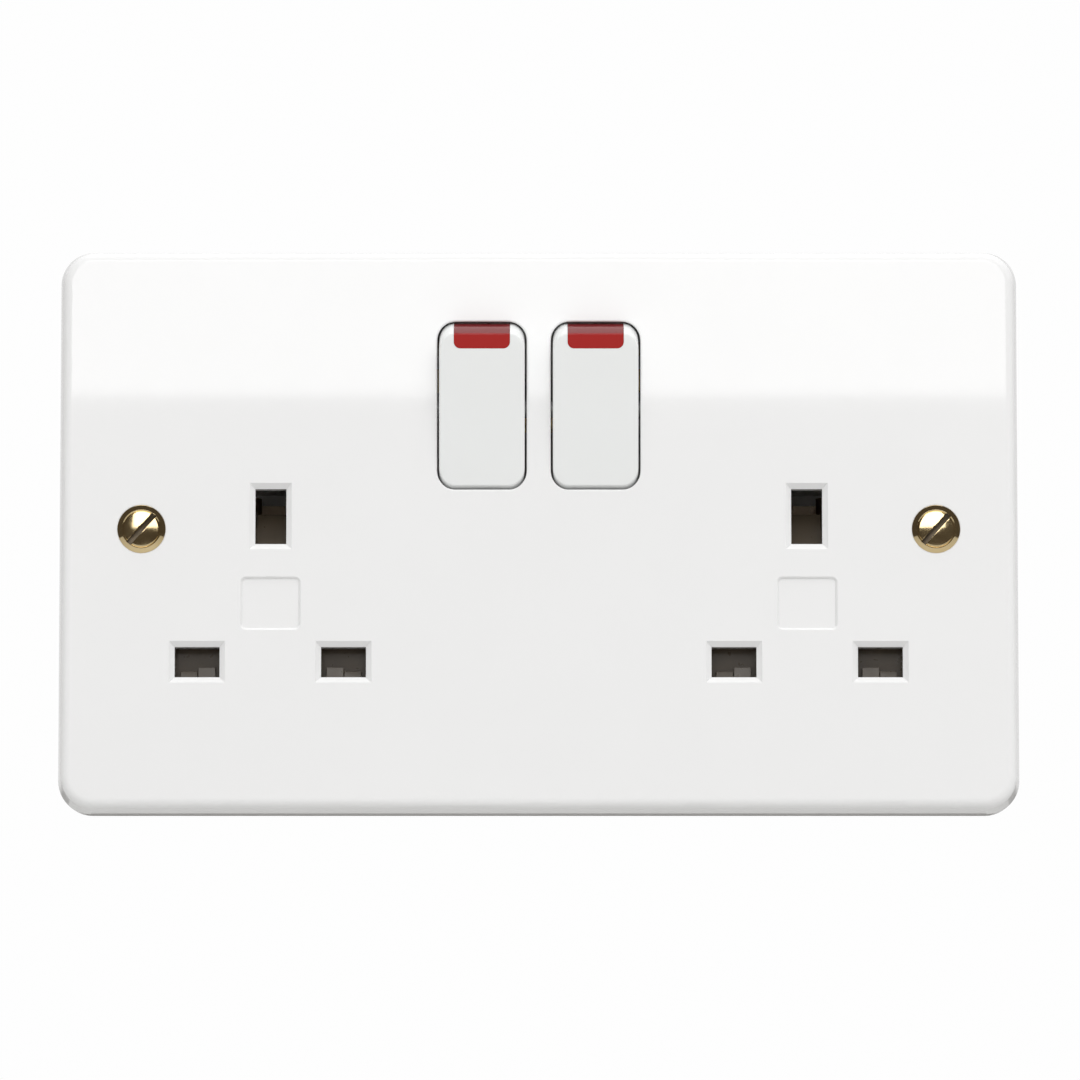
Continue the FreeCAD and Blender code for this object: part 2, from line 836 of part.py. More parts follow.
def mechanism_housing():
    """The rear moulding: a stepped tray with screw wells, barriers, strip posts and the lamp shelf."""
    housing = Piece("mechanism_housing")
    depth = rear - seat
    sketch = housing.sketch("XZ_Plane", into=seat)
    housing_outline(sketch, as_size(0))
    housing.pad(sketch, depth)
    housing.round_edges(at.housing_corner, lambda edge: runs_along(edge, Vector(0, 1, 0)))
    low = (-at.housing_low_half.number, rear.number, -at.housing_bottom.number)
    high = (at.housing_low_half.number, rear.number, at.housing_top.number)
    housing.bevel_edges(at.rear_bevel, lambda edge: inside(edge, low, high))
    rear_panels(housing)
    sketch = housing.sketch("XZ_Plane", into=seat)
    housing_outline(sketch, at.housing_wall)
    housing.pocket(sketch, floor - seat)

    sketch = housing.sketch("XZ_Plane", into=floor)
    for across, up in housing_screws:
        circle(sketch, across, up, at.well_radius)
    housing.pad(sketch, floor - seat, towards=-1)
    strip_posts(housing)
    terminal_barriers(housing)

    shelf_top = at.housing_top - at.housing_wall
    sketch = housing.sketch("XZ_Plane", into=at.shelf_depth)
    rectangle(sketch, -at.shelf_half_width, at.shelf_half_width, at.shelf_bottom, shelf_top)
    housing.pad(sketch, at.shelf_thickness)
    sketch = housing.sketch("XZ_Plane", into=at.shelf_depth)
    for across in rockers.values():
        circle(sketch, across, at.lamp_rise, at.lamp_radius + at.lamp_clearance)
    housing.pocket(sketch, at.lamp_seat)

    sketch = housing.sketch("XZ_Plane", into=rear)
    for across, up in housing_screws:
        circle(sketch, across, up, at.well_bore)
    housing.pocket(sketch, rear - seat - at.well_seat, towards=-1)
    sketch = housing.sketch("XZ_Plane", into=seat)
    for across, up in housing_screws:
        circle(sketch, across, up, at.tapping_radius + at.tapping_clearance)
    housing.pocket(sketch, at.well_seat)
    sketch = housing.sketch("XZ_Plane", into=rear)
    for across in terminals.values():
        circle(sketch, across, -at.terminal_screw_drop, at.terminal_head_radius + at.head_clearance)
    housing.pocket(sketch, at.housing_wall, towards=-1)
    sketch = housing.sketch("XY_Plane", up=-at.housing_bottom)
    for across in terminals.values():
        half = at.entry_half_width
        rectangle(sketch, across - half, across + half, at.entry_front, at.entry_rear)
    housing.pocket(sketch, at.housing_wall)
    return housing


def rear_panels(housing):
    """Shallow panels in the rear face, with ribs left between them."""
    sketch = housing.sketch("XZ_Plane", into=rear)
    spans = [
        (at.panel_rib, at.panel_half, -at.panel_low, at.panel_high),
        (at.side_panel_near, at.side_panel_far, -at.side_panel_low, at.side_panel_high),
    ]
    for near, far, low, high in spans:
        rectangle(sketch, -far, -near, low, high)
        rectangle(sketch, near, far, low, high)
    housing.pocket(sketch, at.panel_depth, towards=-1)


def strip_posts(housing):
    """Posts that rise from the floor to carry the metal strips."""
    half_width = at.post_half_width
    half_height = at.post_half_height
    line_posts = [
        (outlets["left"] + pins[1], line_up),
        (outlets["right"] + pins[1], line_up),
        (rockers["left"], tip_up),
        (rockers["right"], tip_up),
        (as_size(0), at.rocker_rise),
    ]
    neutral_posts = [
        (outlets["left"] + pins[-1], line_up),
        (outlets["right"] + pins[-1], line_up),
    ]
    for front, posts in ((line_back, line_posts), (neutral_back, neutral_posts)):
        for across, up in posts:
            sketch = housing.sketch("XZ_Plane", into=floor)
            if up.text == tip_up.text:
                outer = at.rivet_radius + at.head_clearance + half_width
                rectangle(sketch, across - outer, across + outer, up - half_height, up + half_height)
            else:
                rectangle(sketch, across - half_width, across + half_width, up - half_height, up + half_height)
            housing.pad(sketch, floor - front, towards=-1)
    sketch = housing.sketch("XZ_Plane", into=line_back)
    for across in rockers.values():
        circle(sketch, across, tip_up, at.rivet_radius + at.head_clearance)
    housing.pocket(sketch, at.rivet_thickness * 2)


def terminal_barriers(housing):
    """Insulating barriers between the four terminals."""
    front = floor - at.terminal_depth - at.strip_thickness
    bottom = at.housing_wall - at.housing_bottom
    for step in (-1, 0, 1):
        middle = at.terminal_pitch * step
        half = at.rib_wall / 2
        sketch = housing.sketch("XZ_Plane", into=floor)
        rectangle(sketch, middle - half, middle + half, bottom, -at.terminal_top)
        housing.pad(sketch, floor - front, towards=-1)


def rocker(side):
    """A rocker, hollow behind, with rounded rims, trunnions, a plunger socket and a lens opening."""
    piece = Piece(f"{side}_rocker")
    half_width = at.rocker_width / 2
    radius = at.rocker_radius
    sketch = piece.sketch("XZ_Plane")
    wheel_profile(sketch, half_width, radius, at.rocker_corner)
    piece.turn("Revolution", sketch, "H_Axis")
    sketch = piece.sketch("XZ_Plane", into=-at.rocker_face)
    rectangle(sketch, -radius, radius, -radius, radius)
    piece.pocket(sketch, radius - at.rocker_face, towards=-1)
    low = (-half_width.number, -at.rocker_face.number, -radius.number)
    high = (half_width.number, -at.rocker_face.number, radius.number)
    piece.round_edges(at.rocker_round, lambda edge: inside(edge, low, high))
    sketch = piece.sketch("XZ_Plane", into=at.rocker_skirt)
    rectangle(sketch, -radius, radius, -radius, radius)
    piece.pocket(sketch, radius - at.rocker_skirt)

    sketch = piece.sketch("XZ_Plane", into=at.rocker_skirt)
    inner_width = half_width - at.rocker_wall
    inner_height = radius - at.rocker_end_wall
    rectangle(sketch, -inner_width, inner_width, -inner_height, inner_height)
    hollow_front = at.rocker_wall - at.rocker_face
    piece.pocket(sketch, at.rocker_skirt - hollow_front, towards=-1)

    sketch = piece.sketch("XZ_Plane", into=hollow_front)
    rectangle(sketch, -inner_width, inner_width, -at.rib_wall / 2, at.rib_wall / 2)
    piece.pad(sketch, -hollow_front)
    sketch = piece.sketch("XZ_Plane", into=hollow_front)
    circle(sketch, 0, 0, at.socket_radius)
    piece.pad(sketch, at.socket_reach - hollow_front)
    sketch = piece.sketch("XZ_Plane", into=hollow_front)
    circle(sketch, 0, 0, at.bore_radius)
    piece.pocket(sketch, at.socket_reach - hollow_front)
    for sign in SIDES.values():
        sketch = piece.sketch("YZ_Plane", across=half_width * sign)
        circle(sketch, 0, 0, at.trunnion_radius)
        piece.pad(sketch, at.trunnion_length, towards=sign)

    fit = at.lens_fit
    lens_half = at.lens_width / 2 + fit
    foot, edge, return_up = lens_levels()
    corner = at.lens_corner
    sketch = piece.sketch("XZ_Plane", into=-at.rocker_face)
    outline(
        sketch,
        [
            (corner - lens_half, foot - fit),
            (lens_half - corner, foot - fit),
            (lens_half, foot - fit + corner),
            (lens_half, radius),
            (-lens_half, radius),
            (-lens_half, foot - fit + corner),
        ],
        {
            1: (lens_half - corner, foot - fit + corner, corner),
            5: (corner - lens_half, foot - fit + corner, corner),
        },
    )
    piece.pocket(sketch, at.rocker_wall)
    sketch = piece.sketch("XZ_Plane", into=-at.rocker_face)
    rectangle(sketch, -lens_half, lens_half, return_up - fit, radius)
    piece.pocket(sketch, at.lens_return + fit)
    piece.move(rockers[side], pivot, at.rocker_rise, at.rocker_tilt)
    return piece


def lens_levels():
    """Heights of the lens above the pivot: its foot, the face's edge and the inside of its return."""
    edge = root(at.rocker_radius * at.rocker_radius - at.rocker_face * at.rocker_face)
    foot = edge - at.lens_length
    return_up = at.rocker_radius - at.rocker_end_wall + at.lens_wall / 4
    return foot, edge, return_up


def rocker_lens(side):
    """The red window: a flat part in the rocker's face and a curved return over its end."""
    piece = Piece(f"{side}_rocker_lens")
    foot, edge, return_up = lens_levels()
    radius = at.rocker_radius
    back = at.lens_return - at.rocker_face
    sketch = piece.sketch("YZ_Plane")
    outline(
        sketch,
        [
            (-at.rocker_face, foot),
            (-at.rocker_face, edge),
            (back, root(radius * radius - back * back)),
            (back, return_up),
            (at.lens_wall - at.rocker_face, return_up),
            (at.lens_wall - at.rocker_face, foot),
        ],
        {1: (0, 0, radius)},
    )
    piece.pad(sketch, at.lens_width, midplane=True)
    low = (-at.lens_width.number, -at.rocker_face.number, edge.number)
    high = (at.lens_width.number, -at.rocker_face.number, edge.number)
    piece.round_edges(at.rocker_round, lambda ridge: inside(ridge, low, high))
    low = (-at.lens_width.number, -at.rocker_face.number, foot.number)
    high = (at.lens_width.number, at.lens_wall.number - at.rocker_face.number, foot.number)
    piece.round_edges(
        at.lens_corner, lambda ridge: inside(ridge, low, high) and runs_along(ridge, Vector(0, 1, 0))
    )
    piece.move(rockers[side], pivot, at.rocker_rise, at.rocker_tilt)
    return piece


def plunger(side):
    """The sprung plunger in the rocker's socket: a stem, a tapered nose and a spigot for the spring."""
    piece = Piece(f"{side}_plunger")
    stem = at.bore_radius - at.plunger_clearance
    nose = at.nose_radius
    nose_middle = at.nose_reach - nose
    sketch = piece.sketch("XY_Plane")
    outline(
        sketch,
        [
            (0, at.plunger_tail - at.spigot_length),
            (at.spigot_radius, at.plunger_tail - at.spigot_length),
            (at.spigot_radius, at.plunger_tail),
            (stem, at.plunger_tail),
            (stem, at.plunger_taper),
            (nose, nose_middle - nose),
            (nose, nose_middle),
            (0, at.nose_reach),
        ],
        {6: (0, nose_middle, nose)},
    )
    piece.turn("Revolution", sketch, "V_Axis")
    piece.move(rockers[side], pivot, at.rocker_rise, at.rocker_tilt)
    return piece


def plunger_spring(side):
    """The coil spring that presses the plunger out of the rocker."""
    start = (at.rocker_wall - at.rocker_face).number
    stop = (at.plunger_tail - at.plunger_travel - at.shank_clearance).number
    turns = at.spring_turns.number
    shape = coil(at.plunger_spring_radius.number, at.spring_wire.number, stop - start, turns)
    middle = Vector(rockers[side].number, pivot.number, at.rocker_rise.number)
    rocker_place = Placement(middle, Rotation(Vector(1, 0, 0), at.rocker_tilt.number))
    laid_back = Placement(Vector(0, start, 0), Rotation(Vector(1, 0, 0), -90))
    return feature(f"{side}_plunger_spring", shape, rocker_place.multiply(laid_back))


def contact_lever(side):
    """The see-saw lever: a flat brass blade whose two shoulders rock in the cradle's notches."""
    piece = Piece(f"{side}_contact_lever")
    half = at.lever_width / 2
    shoulder = at.tongue_width / 2
    rise = at.tongue_height / 2
    sketch = piece.sketch("XZ_Plane", into=-at.lever_thickness / 2)
    outline(
        sketch,
        [
            (-half, -at.lever_lower),
            (half, -at.lever_lower),
            (half, -rise),
            (shoulder, -rise),
            (shoulder, rise),
            (half, rise),
            (half, at.lever_upper),
            (-half, at.lever_upper),
            (-half, rise),
            (-shoulder, rise),
            (-shoulder, -rise),
            (-half, -rise),
        ],
    )
    circle(sketch, 0, at.tip_height, at.shank_radius + at.shank_clearance)
    piece.pad(sketch, at.lever_thickness)
    piece.move(rockers[side], lever_pivot, at.rocker_rise, -at.lever_swing)
    return piece


def rivet_profile(sketch, head_front, plate_front, plate_back, tail_back):
    """Half section of a contact rivet about the depth axis, its broad head at head_front."""
    outline(
        sketch,
        [
            (0, head_front),
            (at.tip_radius, head_front),
            (at.tip_radius, plate_front),
            (at.shank_radius, plate_front),
            (at.shank_radius, plate_back),
            (at.rivet_radius, plate_back),
            (at.rivet_radius, tail_back),
            (0, tail_back),
        ],
    )


def moving_contact(side):
    """The silver rivet at the lever's upper end, its head facing the rear."""
    piece = Piece(f"{side}_moving_contact")
    sketch = piece.sketch("XY_Plane", up=at.tip_height)
    half = at.lever_thickness / 2
    rivet_profile(sketch, half + at.tip_thickness, half, -half, -half - at.rivet_thickness)
    piece.turn("Revolution", sketch, "V_Axis")
    piece.move(rockers[side], lever_pivot, at.rocker_rise, -at.lever_swing)
    return piece


def fixed_contact(side):
    """The silver rivet on the switched strip, which the moving contact presses on."""
    piece = Piece(f"{side}_fixed_contact")
    reach = at.lever_thickness / 2 + at.tip_thickness
    edge = at.tip_height + at.tip_radius
    front = lever_pivot + reach * cosine(at.lever_swing) + edge * sine(at.lever_swing) + at.tip_gap
    sketch = piece.sketch("XY_Plane", across=rockers[side], up=tip_up)
    rivet_profile(sketch, front, line_front, line_back, line_back + at.rivet_thickness)
    piece.turn("Revolution", sketch, "V_Axis")
    return piece


def clip_points(back):
    """Section of a sprung pin contact: a flat base and two leaves that pinch the pin and flare at the mouth."""
    wall = at.strip_thickness
    gap = at.clip_half_gap
    pinch = at.clip_pinch
    flare = at.clip_flare
    pinch_depth = at.clip_pinch_depth
    mouth = at.clip_mouth_depth
    return [
        (back, -gap - wall),
        (back, gap + wall),
        (pinch_depth, pinch + wall),
        (mouth, flare + wall),
        (mouth, flare),
        (pinch_depth, pinch),
        (back - wall, gap),
        (back - wall, -gap),
        (pinch_depth, -pinch),
        (mouth, -flare),
        (mouth, -flare - wall),
        (pinch_depth, -pinch - wall),
    ]


def flat_clip(piece, across, back):
    """A contact for a flat-lying pin: one leaf above it and one below."""
    sketch = piece.sketch("YZ_Plane", across=across, up=line_up)
    outline(sketch, clip_points(back))
    piece.pad(sketch, at.clip_width, midplane=True)


def upright_clip(piece, across, back):
    """A contact for an upright pin: one leaf on each side of it."""
    sketch = piece.sketch("XY_Plane", across=across, up=earth_up)
    outline(sketch, [(offset, depth) for depth, offset in clip_points(back)])
    piece.pad(sketch, at.earth_clip_height, midplane=True)


def strip(piece, front, left, right, low, high):
    """A flat length of strip whose front lies at the given depth."""
    sketch = piece.sketch("XZ_Plane", into=front)
    rectangle(sketch, left, right, low, high)
    piece.pad(sketch, at.strip_thickness)


def line_contact(side):
    """A switched line strip: the pin contact, a leg up the housing and an arm to the fixed contact."""
    piece = Piece(f"{side}_line_contact")
    sign = SIDES[side]
    clip_middle = outlets[side] + pins[1]
    flat_clip(piece, clip_middle, line_back)
    half = at.strip_width / 2
    base_top = line_up + at.clip_half_gap
    leg = at.line_leg_offset * sign
    link_top = line_up + at.line_link_drop
    link_low = link_top - at.strip_width
    if sign > 0:
        strip(piece, line_front, clip_middle - half, clip_middle + half, base_top, link_top)
        strip(piece, line_front, leg - half, clip_middle + half, link_low, link_top)
        leg_low = link_low
    else:
        leg_low = base_top
    arm_low = tip_up - at.arm_drop
    arm_high = arm_low + at.arm_height
    strip(piece, line_front, leg - half, leg + half, leg_low, arm_high)
    near = rockers[side] - at.arm_overhang * sign
    far = leg + half * sign
    left, right = (near, far) if sign > 0 else (far, near)
    strip(piece, line_front, left, right, arm_low, arm_high)
    sketch = piece.sketch("XZ_Plane", into=line_front)
    circle(sketch, rockers[side], tip_up, at.shank_radius + at.shank_clearance)
    piece.pocket(sketch, at.strip_thickness)
    return piece


def neutral_strip():
    """One strip that joins both neutral pin contacts and the neutral terminal."""
    piece = Piece("neutral_strip")
    ends = [outlets["left"] + pins[-1], outlets["right"] + pins[-1]]
    for across in ends:
        flat_clip(piece, across, neutral_back)
    high = line_up + at.neutral_bar_drop
    low = high - at.strip_width
    half = at.strip_width / 2
    strip(piece, neutral_front, ends[0] - half, ends[1] + half, low, high)
    tab = terminals["neutral_terminal"]
    strip(piece, neutral_front, tab - half, tab + half, -at.terminal_top, high)
    return piece


def earth_strip():
    """One strip that joins both earth pin contacts and the two earth terminals."""
    piece = Piece("earth_strip")
    for across in outlets.values():
        upright_clip(piece, across, floor)
    half = at.strip_width / 2
    strip(piece, earth_front, outlets["left"], outlets["right"], earth_up - half, earth_up + half)
    for terminal in ("left_earth_terminal", "right_earth_terminal"):
        tab = terminals[terminal]
        strip(piece, earth_front, tab - half, tab + half, -at.terminal_top, earth_up)
    return piece


def line_bar():
    """The supply bar: a leg from the line terminal to a cradle whose notched tabs carry both levers."""
    piece = Piece("line_bar")
    middle = terminals["line_terminal"]
    half = at.bar_width / 2
    low = at.rocker_rise - at.cradle_half_height
    high = at.rocker_rise + at.cradle_half_height
    strip(piece, line_front, middle - half, middle + half, -at.terminal_top, high)
    strip(piece, line_front, -at.cradle_half_width, at.cradle_half_width, low, high)
    near = at.lever_width / 2 + at.tab_gap
    tab = at.strip_thickness
    rise = at.tab_half_height
    for across in rockers.values():
        for left, right in ((across + near, across + near + tab), (across - near - tab, across - near)):
            sketch = piece.sketch("XZ_Plane", into=line_front)
            rectangle(sketch, left, right, at.rocker_rise - rise, at.rocker_rise + rise)
            piece.pad(sketch, at.tab_reach, towards=-1)
    bottom = lever_pivot + at.lever_thickness / 2 + at.notch_clearance
    sketch = piece.sketch("YZ_Plane", up=at.rocker_rise)
    rectangle(sketch, line_front - at.tab_reach, bottom, -at.notch_half_height, at.notch_half_height)
    piece.pocket(sketch, at.cradle_half_width * 2, midplane=True)
    return piece


def terminal(label):
    """A brass terminal block, bored from below for the conductors and from the rear for its screw."""
    piece = Piece(label)
    across = terminals[label]
    half = at.terminal_width / 2
    bottom = -at.terminal_top - at.terminal_height
    sketch = piece.sketch("XZ_Plane", into=floor)
    rectangle(sketch, across - half, across + half, bottom, -at.terminal_top)
    piece.pad(sketch, at.terminal_depth, towards=-1)
    middle = floor - at.terminal_depth / 2
    sketch = piece.sketch("XY_Plane", across=across, into=middle, up=bottom)
    circle(sketch, 0, 0, at.terminal_bore_radius)
    piece.pocket(sketch, at.terminal_bore_depth)
    sketch = piece.sketch("XZ_Plane", into=floor)
    circle(sketch, across, -at.terminal_screw_drop, at.terminal_screw_radius + at.tapping_clearance)
    piece.pocket(sketch, at.terminal_depth / 2, towards=-1)
    return piece


def slot_across(piece, across, up, depth, reach, towards, turn):
    """A driver slot across a screw head."""
    sketch = piece.sketch("XZ_Plane", across=across, into=depth, up=up)
    sketch.AttachmentOffset = Placement(sketch.AttachmentOffset.Base, Rotation(Vector(0, 0, 1), 1))
    bind(sketch, "AttachmentOffset.Rotation.Angle", turn)
    half = at.driver_slot / 2
    rectangle(sketch, -reach, reach, -half, half)
    piece.pocket(sketch, at.driver_depth, towards=towards)


def terminal_screw(number, across):
    """A terminal screw, backed out so that its bore is free."""
    piece = Piece(f"terminal_screw_{number}")
    up = -at.terminal_screw_drop
    head = floor + at.terminal_head_lift
    top = head + at.terminal_head_thickness
    tip = floor - at.terminal_depth / 2 + at.terminal_bore_radius
    sketch = piece.sketch("XY_Plane", across=across, up=up)
    outline(
        sketch,
        [
            (0, tip),
            (at.terminal_screw_radius, tip),
            (at.terminal_screw_radius, head),
            (at.terminal_head_radius, head),
            (at.terminal_head_radius, top),
            (0, top),
        ],
    )
    piece.turn("Revolution", sketch, "V_Axis")
    slot_across(piece, across, up, top, at.terminal_head_radius, -1, at.slot_turn)
    return piece


def housing_screw(number, across, up):
    """A tapping screw at the bottom of its well, holding the housing to the plate."""
    piece = Piece(f"housing_screw_{number}")
    head = seat + at.well_seat
    top = head + at.tapping_head_thickness
    sketch = piece.sketch("XY_Plane", across=across, up=up)
    outline(
        sketch,
        [
            (0, head - at.tapping_length),
            (at.tapping_radius, head - at.tapping_length + at.tapping_radius),
            (at.tapping_radius, head),
            (at.tapping_head_radius, head),
            (at.tapping_head_radius, top - at.rivet_thickness),
            (at.tapping_head_radius - at.rivet_thickness, top),
            (0, top),
        ],
    )
    piece.turn("Revolution", sketch, "V_Axis")
    slot_across(piece, across, up, top, at.tapping_head_radius, -1, at.slot_turn)
    return piece


def fixing_screw(number, across):
    """A raised countersunk screw: a cone under the head, a plain neck and the threaded length."""
    piece = Piece(f"fixing_screw_{number}")
    crown = face - at.ring_rise - at.disc_rise
    shoulder = face - at.ring_rise
    sketch = piece.sketch("XY_Plane", across=across)
    outline(
        sketch,
        [
            (0, crown),
            (at.disc_radius - at.disc_rise, crown),
            (at.disc_radius, shoulder),
            (at.head_radius, face),
            (at.neck_radius, face + at.head_depth),
            (at.neck_radius, at.neck_end),
            (at.thread_radius, at.neck_end),
            (at.thread_radius, at.thread_end),
            (at.thread_radius / 2, at.thread_end + at.thread_radius / 2),
            (0, at.thread_end + at.thread_radius / 2),
        ],
    )
    piece.turn("Revolution", sketch, "V_Axis")
    slot_across(piece, across, 0, crown, at.head_radius, 1, at.slot_turn)
    return piece


def screw_retainer(number, across):
    """The washer that keeps a fixing screw in the plate."""
    piece = Piece(f"screw_retainer_{number}")
    front = -at.retainer_well
    sketch = piece.sketch("XZ_Plane", across=across, into=front)
    circle(sketch, 0, 0, at.retainer_radius)
    circle(sketch, 0, 0, at.neck_radius + at.tapping_clearance)
    piece.pad(sketch, at.retainer_thickness)
    return piece


def neon_lamp(side):
    """A small sealed neon lamp with a rounded end behind the rocker's lens."""
    piece = Piece(f"{side}_neon_lamp")
    back = at.shelf_depth + at.lamp_seat
    front = -at.lamp_front
    radius = at.lamp_radius
    sketch = piece.sketch("XY_Plane", across=rockers[side], up=at.lamp_rise)
    outline(
        sketch,
        [(0, front), (radius, front + radius), (radius, back), (0, back)],
        {0: (0, front + radius, radius)},
    )
    piece.turn("Revolution", sketch, "V_Axis")
    return piece


def lamp_resistor(side):
    """The lamp's resistor with its two wires: one to the lamp, one to the switched strip."""
    sign = SIDES[side]
    lamp = rockers[side].number
    middle = at.resistor_offset.number * sign
    half = at.resistor_length.number / 2 * sign
    depth = at.resistor_depth.number
    up = at.resistor_rise.number
    wire = at.wire_radius.number
    back = (at.shelf_depth + at.shelf_thickness).number
    body = Part.makeCylinder(
        at.resistor_radius.number, abs(half) * 2, Vector(middle - abs(half), depth, up), Vector(1, 0, 0)
    )
    inner = bent_wire(
        [
            Vector(middle - half, depth, up),
            Vector(lamp, depth, up),
            Vector(lamp, back + wire * 2, up),
            Vector(lamp, back + wire * 2, at.lamp_rise.number),
        ],
        wire,
        4,
    )
    outer = bent_wire(
        [
            Vector(middle + half, depth, up),
            Vector(middle + half + wire * 3 * sign, depth, up),
            Vector(middle + half + wire * 3 * sign, depth, (tip_up + at.strip_width / 2).number - wire),
            Vector(middle + half + wire * 3 * sign, line_front.number, (tip_up + at.strip_width / 2).number - wire),
        ],
        wire,
        4,
    )
    return feature(f"{side}_lamp_resistor", body.fuse([inner, outer]).removeSplitter())


def shutter(side):
    """The shutter behind one outlet: two wings over the live slots, a spring window and the earth cam."""
    piece = Piece(f"{side}_shutter")
    across = outlets[side]
    front = inner_face + at.shutter_clearance
    back = front + at.shutter_thickness
    frame = at.frame_half_width
    wing = at.shutter_half_width
    wing_low = line_up - at.wing_rise
    wing_high = line_up + at.wing_rise
    web_top = -at.low_screw_drop - at.screw_boss_radius - at.shutter_clearance
    bottom = web_top - at.web_height
    crossbar = at.crossbar_height - at.window_top
    tongue = at.tongue_half_width
    foot = earth_up - at.earth_slot_height / 2 - at.cam_slot_gap
    sketch = piece.sketch("XZ_Plane", across=across, into=front)
    outline(
        sketch,
        [
            (-frame, bottom),
            (frame, bottom),
            (frame, wing_low),
            (wing, wing_low),
            (wing, wing_high),
            (frame, wing_high),
            (frame, crossbar),
            (tongue, crossbar),
            (tongue, foot - at.cam_root),
            (-tongue, foot - at.cam_root),
            (-tongue, crossbar),
            (-frame, crossbar),
            (-frame, wing_high),
            (-wing, wing_high),
            (-wing, wing_low),
            (-frame, wing_low),
        ],
    )
    window = at.window_half_width
    rectangle(sketch, -window, window, web_top, -at.window_top)
    piece.pad(sketch, at.shutter_thickness)

    sketch = piece.sketch("YZ_Plane", across=across)
    outline(
        sketch,
        [
            (front, foot - at.cam_root * 2),
            (back, foot - at.cam_root * 2),
            (-at.cam_rear, foot),
            (-at.cam_rear, foot + at.cam_rise),
            (front, foot),
        ],
    )
    piece.pad(sketch, at.cam_half_width * 2, midplane=True)
    for offset in pins.values():
        catch_pocket(piece, across + offset, front, -math.copysign(1, offset.number))
    return piece


def catch_pocket(piece, across, front, inward):
    """The pocket in a wing's face, with two sloping catches behind the slot's lower edge: the inner is higher."""
    half = at.catch_pocket_half_width
    slot_low = line_up - at.line_slot_height / 2
    top = line_up + at.line_slot_height / 2
    sketch = piece.sketch("XZ_Plane", across=across, into=front)
    rectangle(sketch, -half, half, slot_low, top)
    piece.pocket(sketch, at.catch_pocket_depth)
    for sign, rise in ((-inward, at.low_catch), (inward, at.high_catch)):
        sketch = piece.sketch("YZ_Plane", across=across + (at.catch_width + at.catch_split) / 2 * sign)
        outline(
            sketch,
            [
                (front, slot_low),
                (front + at.catch_pocket_depth, slot_low),
                (front + at.catch_pocket_depth, slot_low + rise),
                (front + at.catch_lean, slot_low + rise),
            ],
        )
        piece.pad(sketch, at.catch_width, midplane=True)


def shutter_spring(side):
    """The spring that lifts the shutter, standing on the screw boss in the shutter's window."""
    low = (at.screw_boss_radius - at.low_screw_drop).number
    high = -at.window_top.number
    wire = at.shutter_spring_wire.number
    shape = coil(at.shutter_spring_radius.number, wire, high - low, at.spring_turns.number)
    middle = inner_face + at.shutter_clearance + at.shutter_thickness / 2
    place = Placement(Vector(outlets[side].number, middle.number, low), Rotation())
    return feature(f"{side}_shutter_spring", shape, place)


pieces = [front_plate(), mechanism_housing(), neutral_strip(), earth_strip(), line_bar()]
for label in terminals:
    pieces.append(terminal(label))
for side in SIDES:
    for build in (rocker, rocker_lens, plunger, contact_lever, moving_contact, fixed_contact):
        pieces.append(build(side))
    for build in (line_contact, shutter, neon_lamp):
        pieces.append(build(side))
parts = [piece.body for piece in pieces]
for side in SIDES:
    for build in (plunger_spring, shutter_spring, lamp_resistor):
        parts.append(build(side))
fixings = [at.fixing_spacing / 2 * sign for sign in SIDES.values()]
parts.append(group("fixing_screws", [fixing_screw(n, x) for n, x in enumerate(fixings, start=1)]))
parts.append(group("screw_retainers", [screw_retainer(n, x) for n, x in enumerate(fixings, start=1)]))
parts.append(group("housing_screws", [housing_screw(n, x, z) for n, (x, z) in enumerate(housing_screws, start=1)]))
parts.append(group("terminal_screws", [terminal_screw(n, x) for n, x in enumerate(terminals.values(), start=1)]))

doc.recompute()
for item in doc.Objects:
    check_state(item)
for part in parts:
    if part.Shape.isNull() or not part.Shape.isValid():
        raise RuntimeError(f"{part.Label} has no sound shape")

os.makedirs("parts", exist_ok=True)
for part in parts:
    part.Shape.exportStep(f"parts/{part.Label}.step")
print(f"{len(parts)} parts written")
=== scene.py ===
import json
import math

import bmesh
import bpy
from mathutils import Matrix, Vector


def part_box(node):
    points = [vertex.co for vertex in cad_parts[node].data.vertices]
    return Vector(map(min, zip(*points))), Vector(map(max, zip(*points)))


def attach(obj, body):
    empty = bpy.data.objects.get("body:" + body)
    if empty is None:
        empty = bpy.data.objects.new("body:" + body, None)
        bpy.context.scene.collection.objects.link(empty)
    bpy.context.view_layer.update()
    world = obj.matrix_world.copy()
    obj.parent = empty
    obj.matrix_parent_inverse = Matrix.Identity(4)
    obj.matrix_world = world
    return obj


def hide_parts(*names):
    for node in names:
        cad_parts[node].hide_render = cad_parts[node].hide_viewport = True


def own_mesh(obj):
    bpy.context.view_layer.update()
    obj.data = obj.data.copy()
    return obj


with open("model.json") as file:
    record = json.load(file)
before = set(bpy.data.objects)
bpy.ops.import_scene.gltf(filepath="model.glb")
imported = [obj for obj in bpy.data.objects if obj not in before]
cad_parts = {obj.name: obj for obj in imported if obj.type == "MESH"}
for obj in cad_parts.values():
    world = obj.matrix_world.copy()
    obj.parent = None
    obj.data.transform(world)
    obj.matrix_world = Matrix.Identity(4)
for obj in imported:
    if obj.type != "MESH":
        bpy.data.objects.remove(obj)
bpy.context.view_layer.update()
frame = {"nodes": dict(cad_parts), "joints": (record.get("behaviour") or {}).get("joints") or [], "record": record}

# A white twin switched wall socket, seen from the front and slightly below. All lengths are in metres.

MM = 0.001
scene = bpy.context.scene
scene.view_settings.view_transform = "Standard"

SIDES = {"left": -1, "right": 1}
FACE_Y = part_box("front_plate")[0].y


# Camera

PHOTO_PIXELS = 1080
PIXELS_PER_METRE = 6590
VIEW_ELEVATION = math.radians(-6)
FOCAL_LENGTH = 245
SENSOR = 36
NEAREST, FARTHEST = 0.05, 20
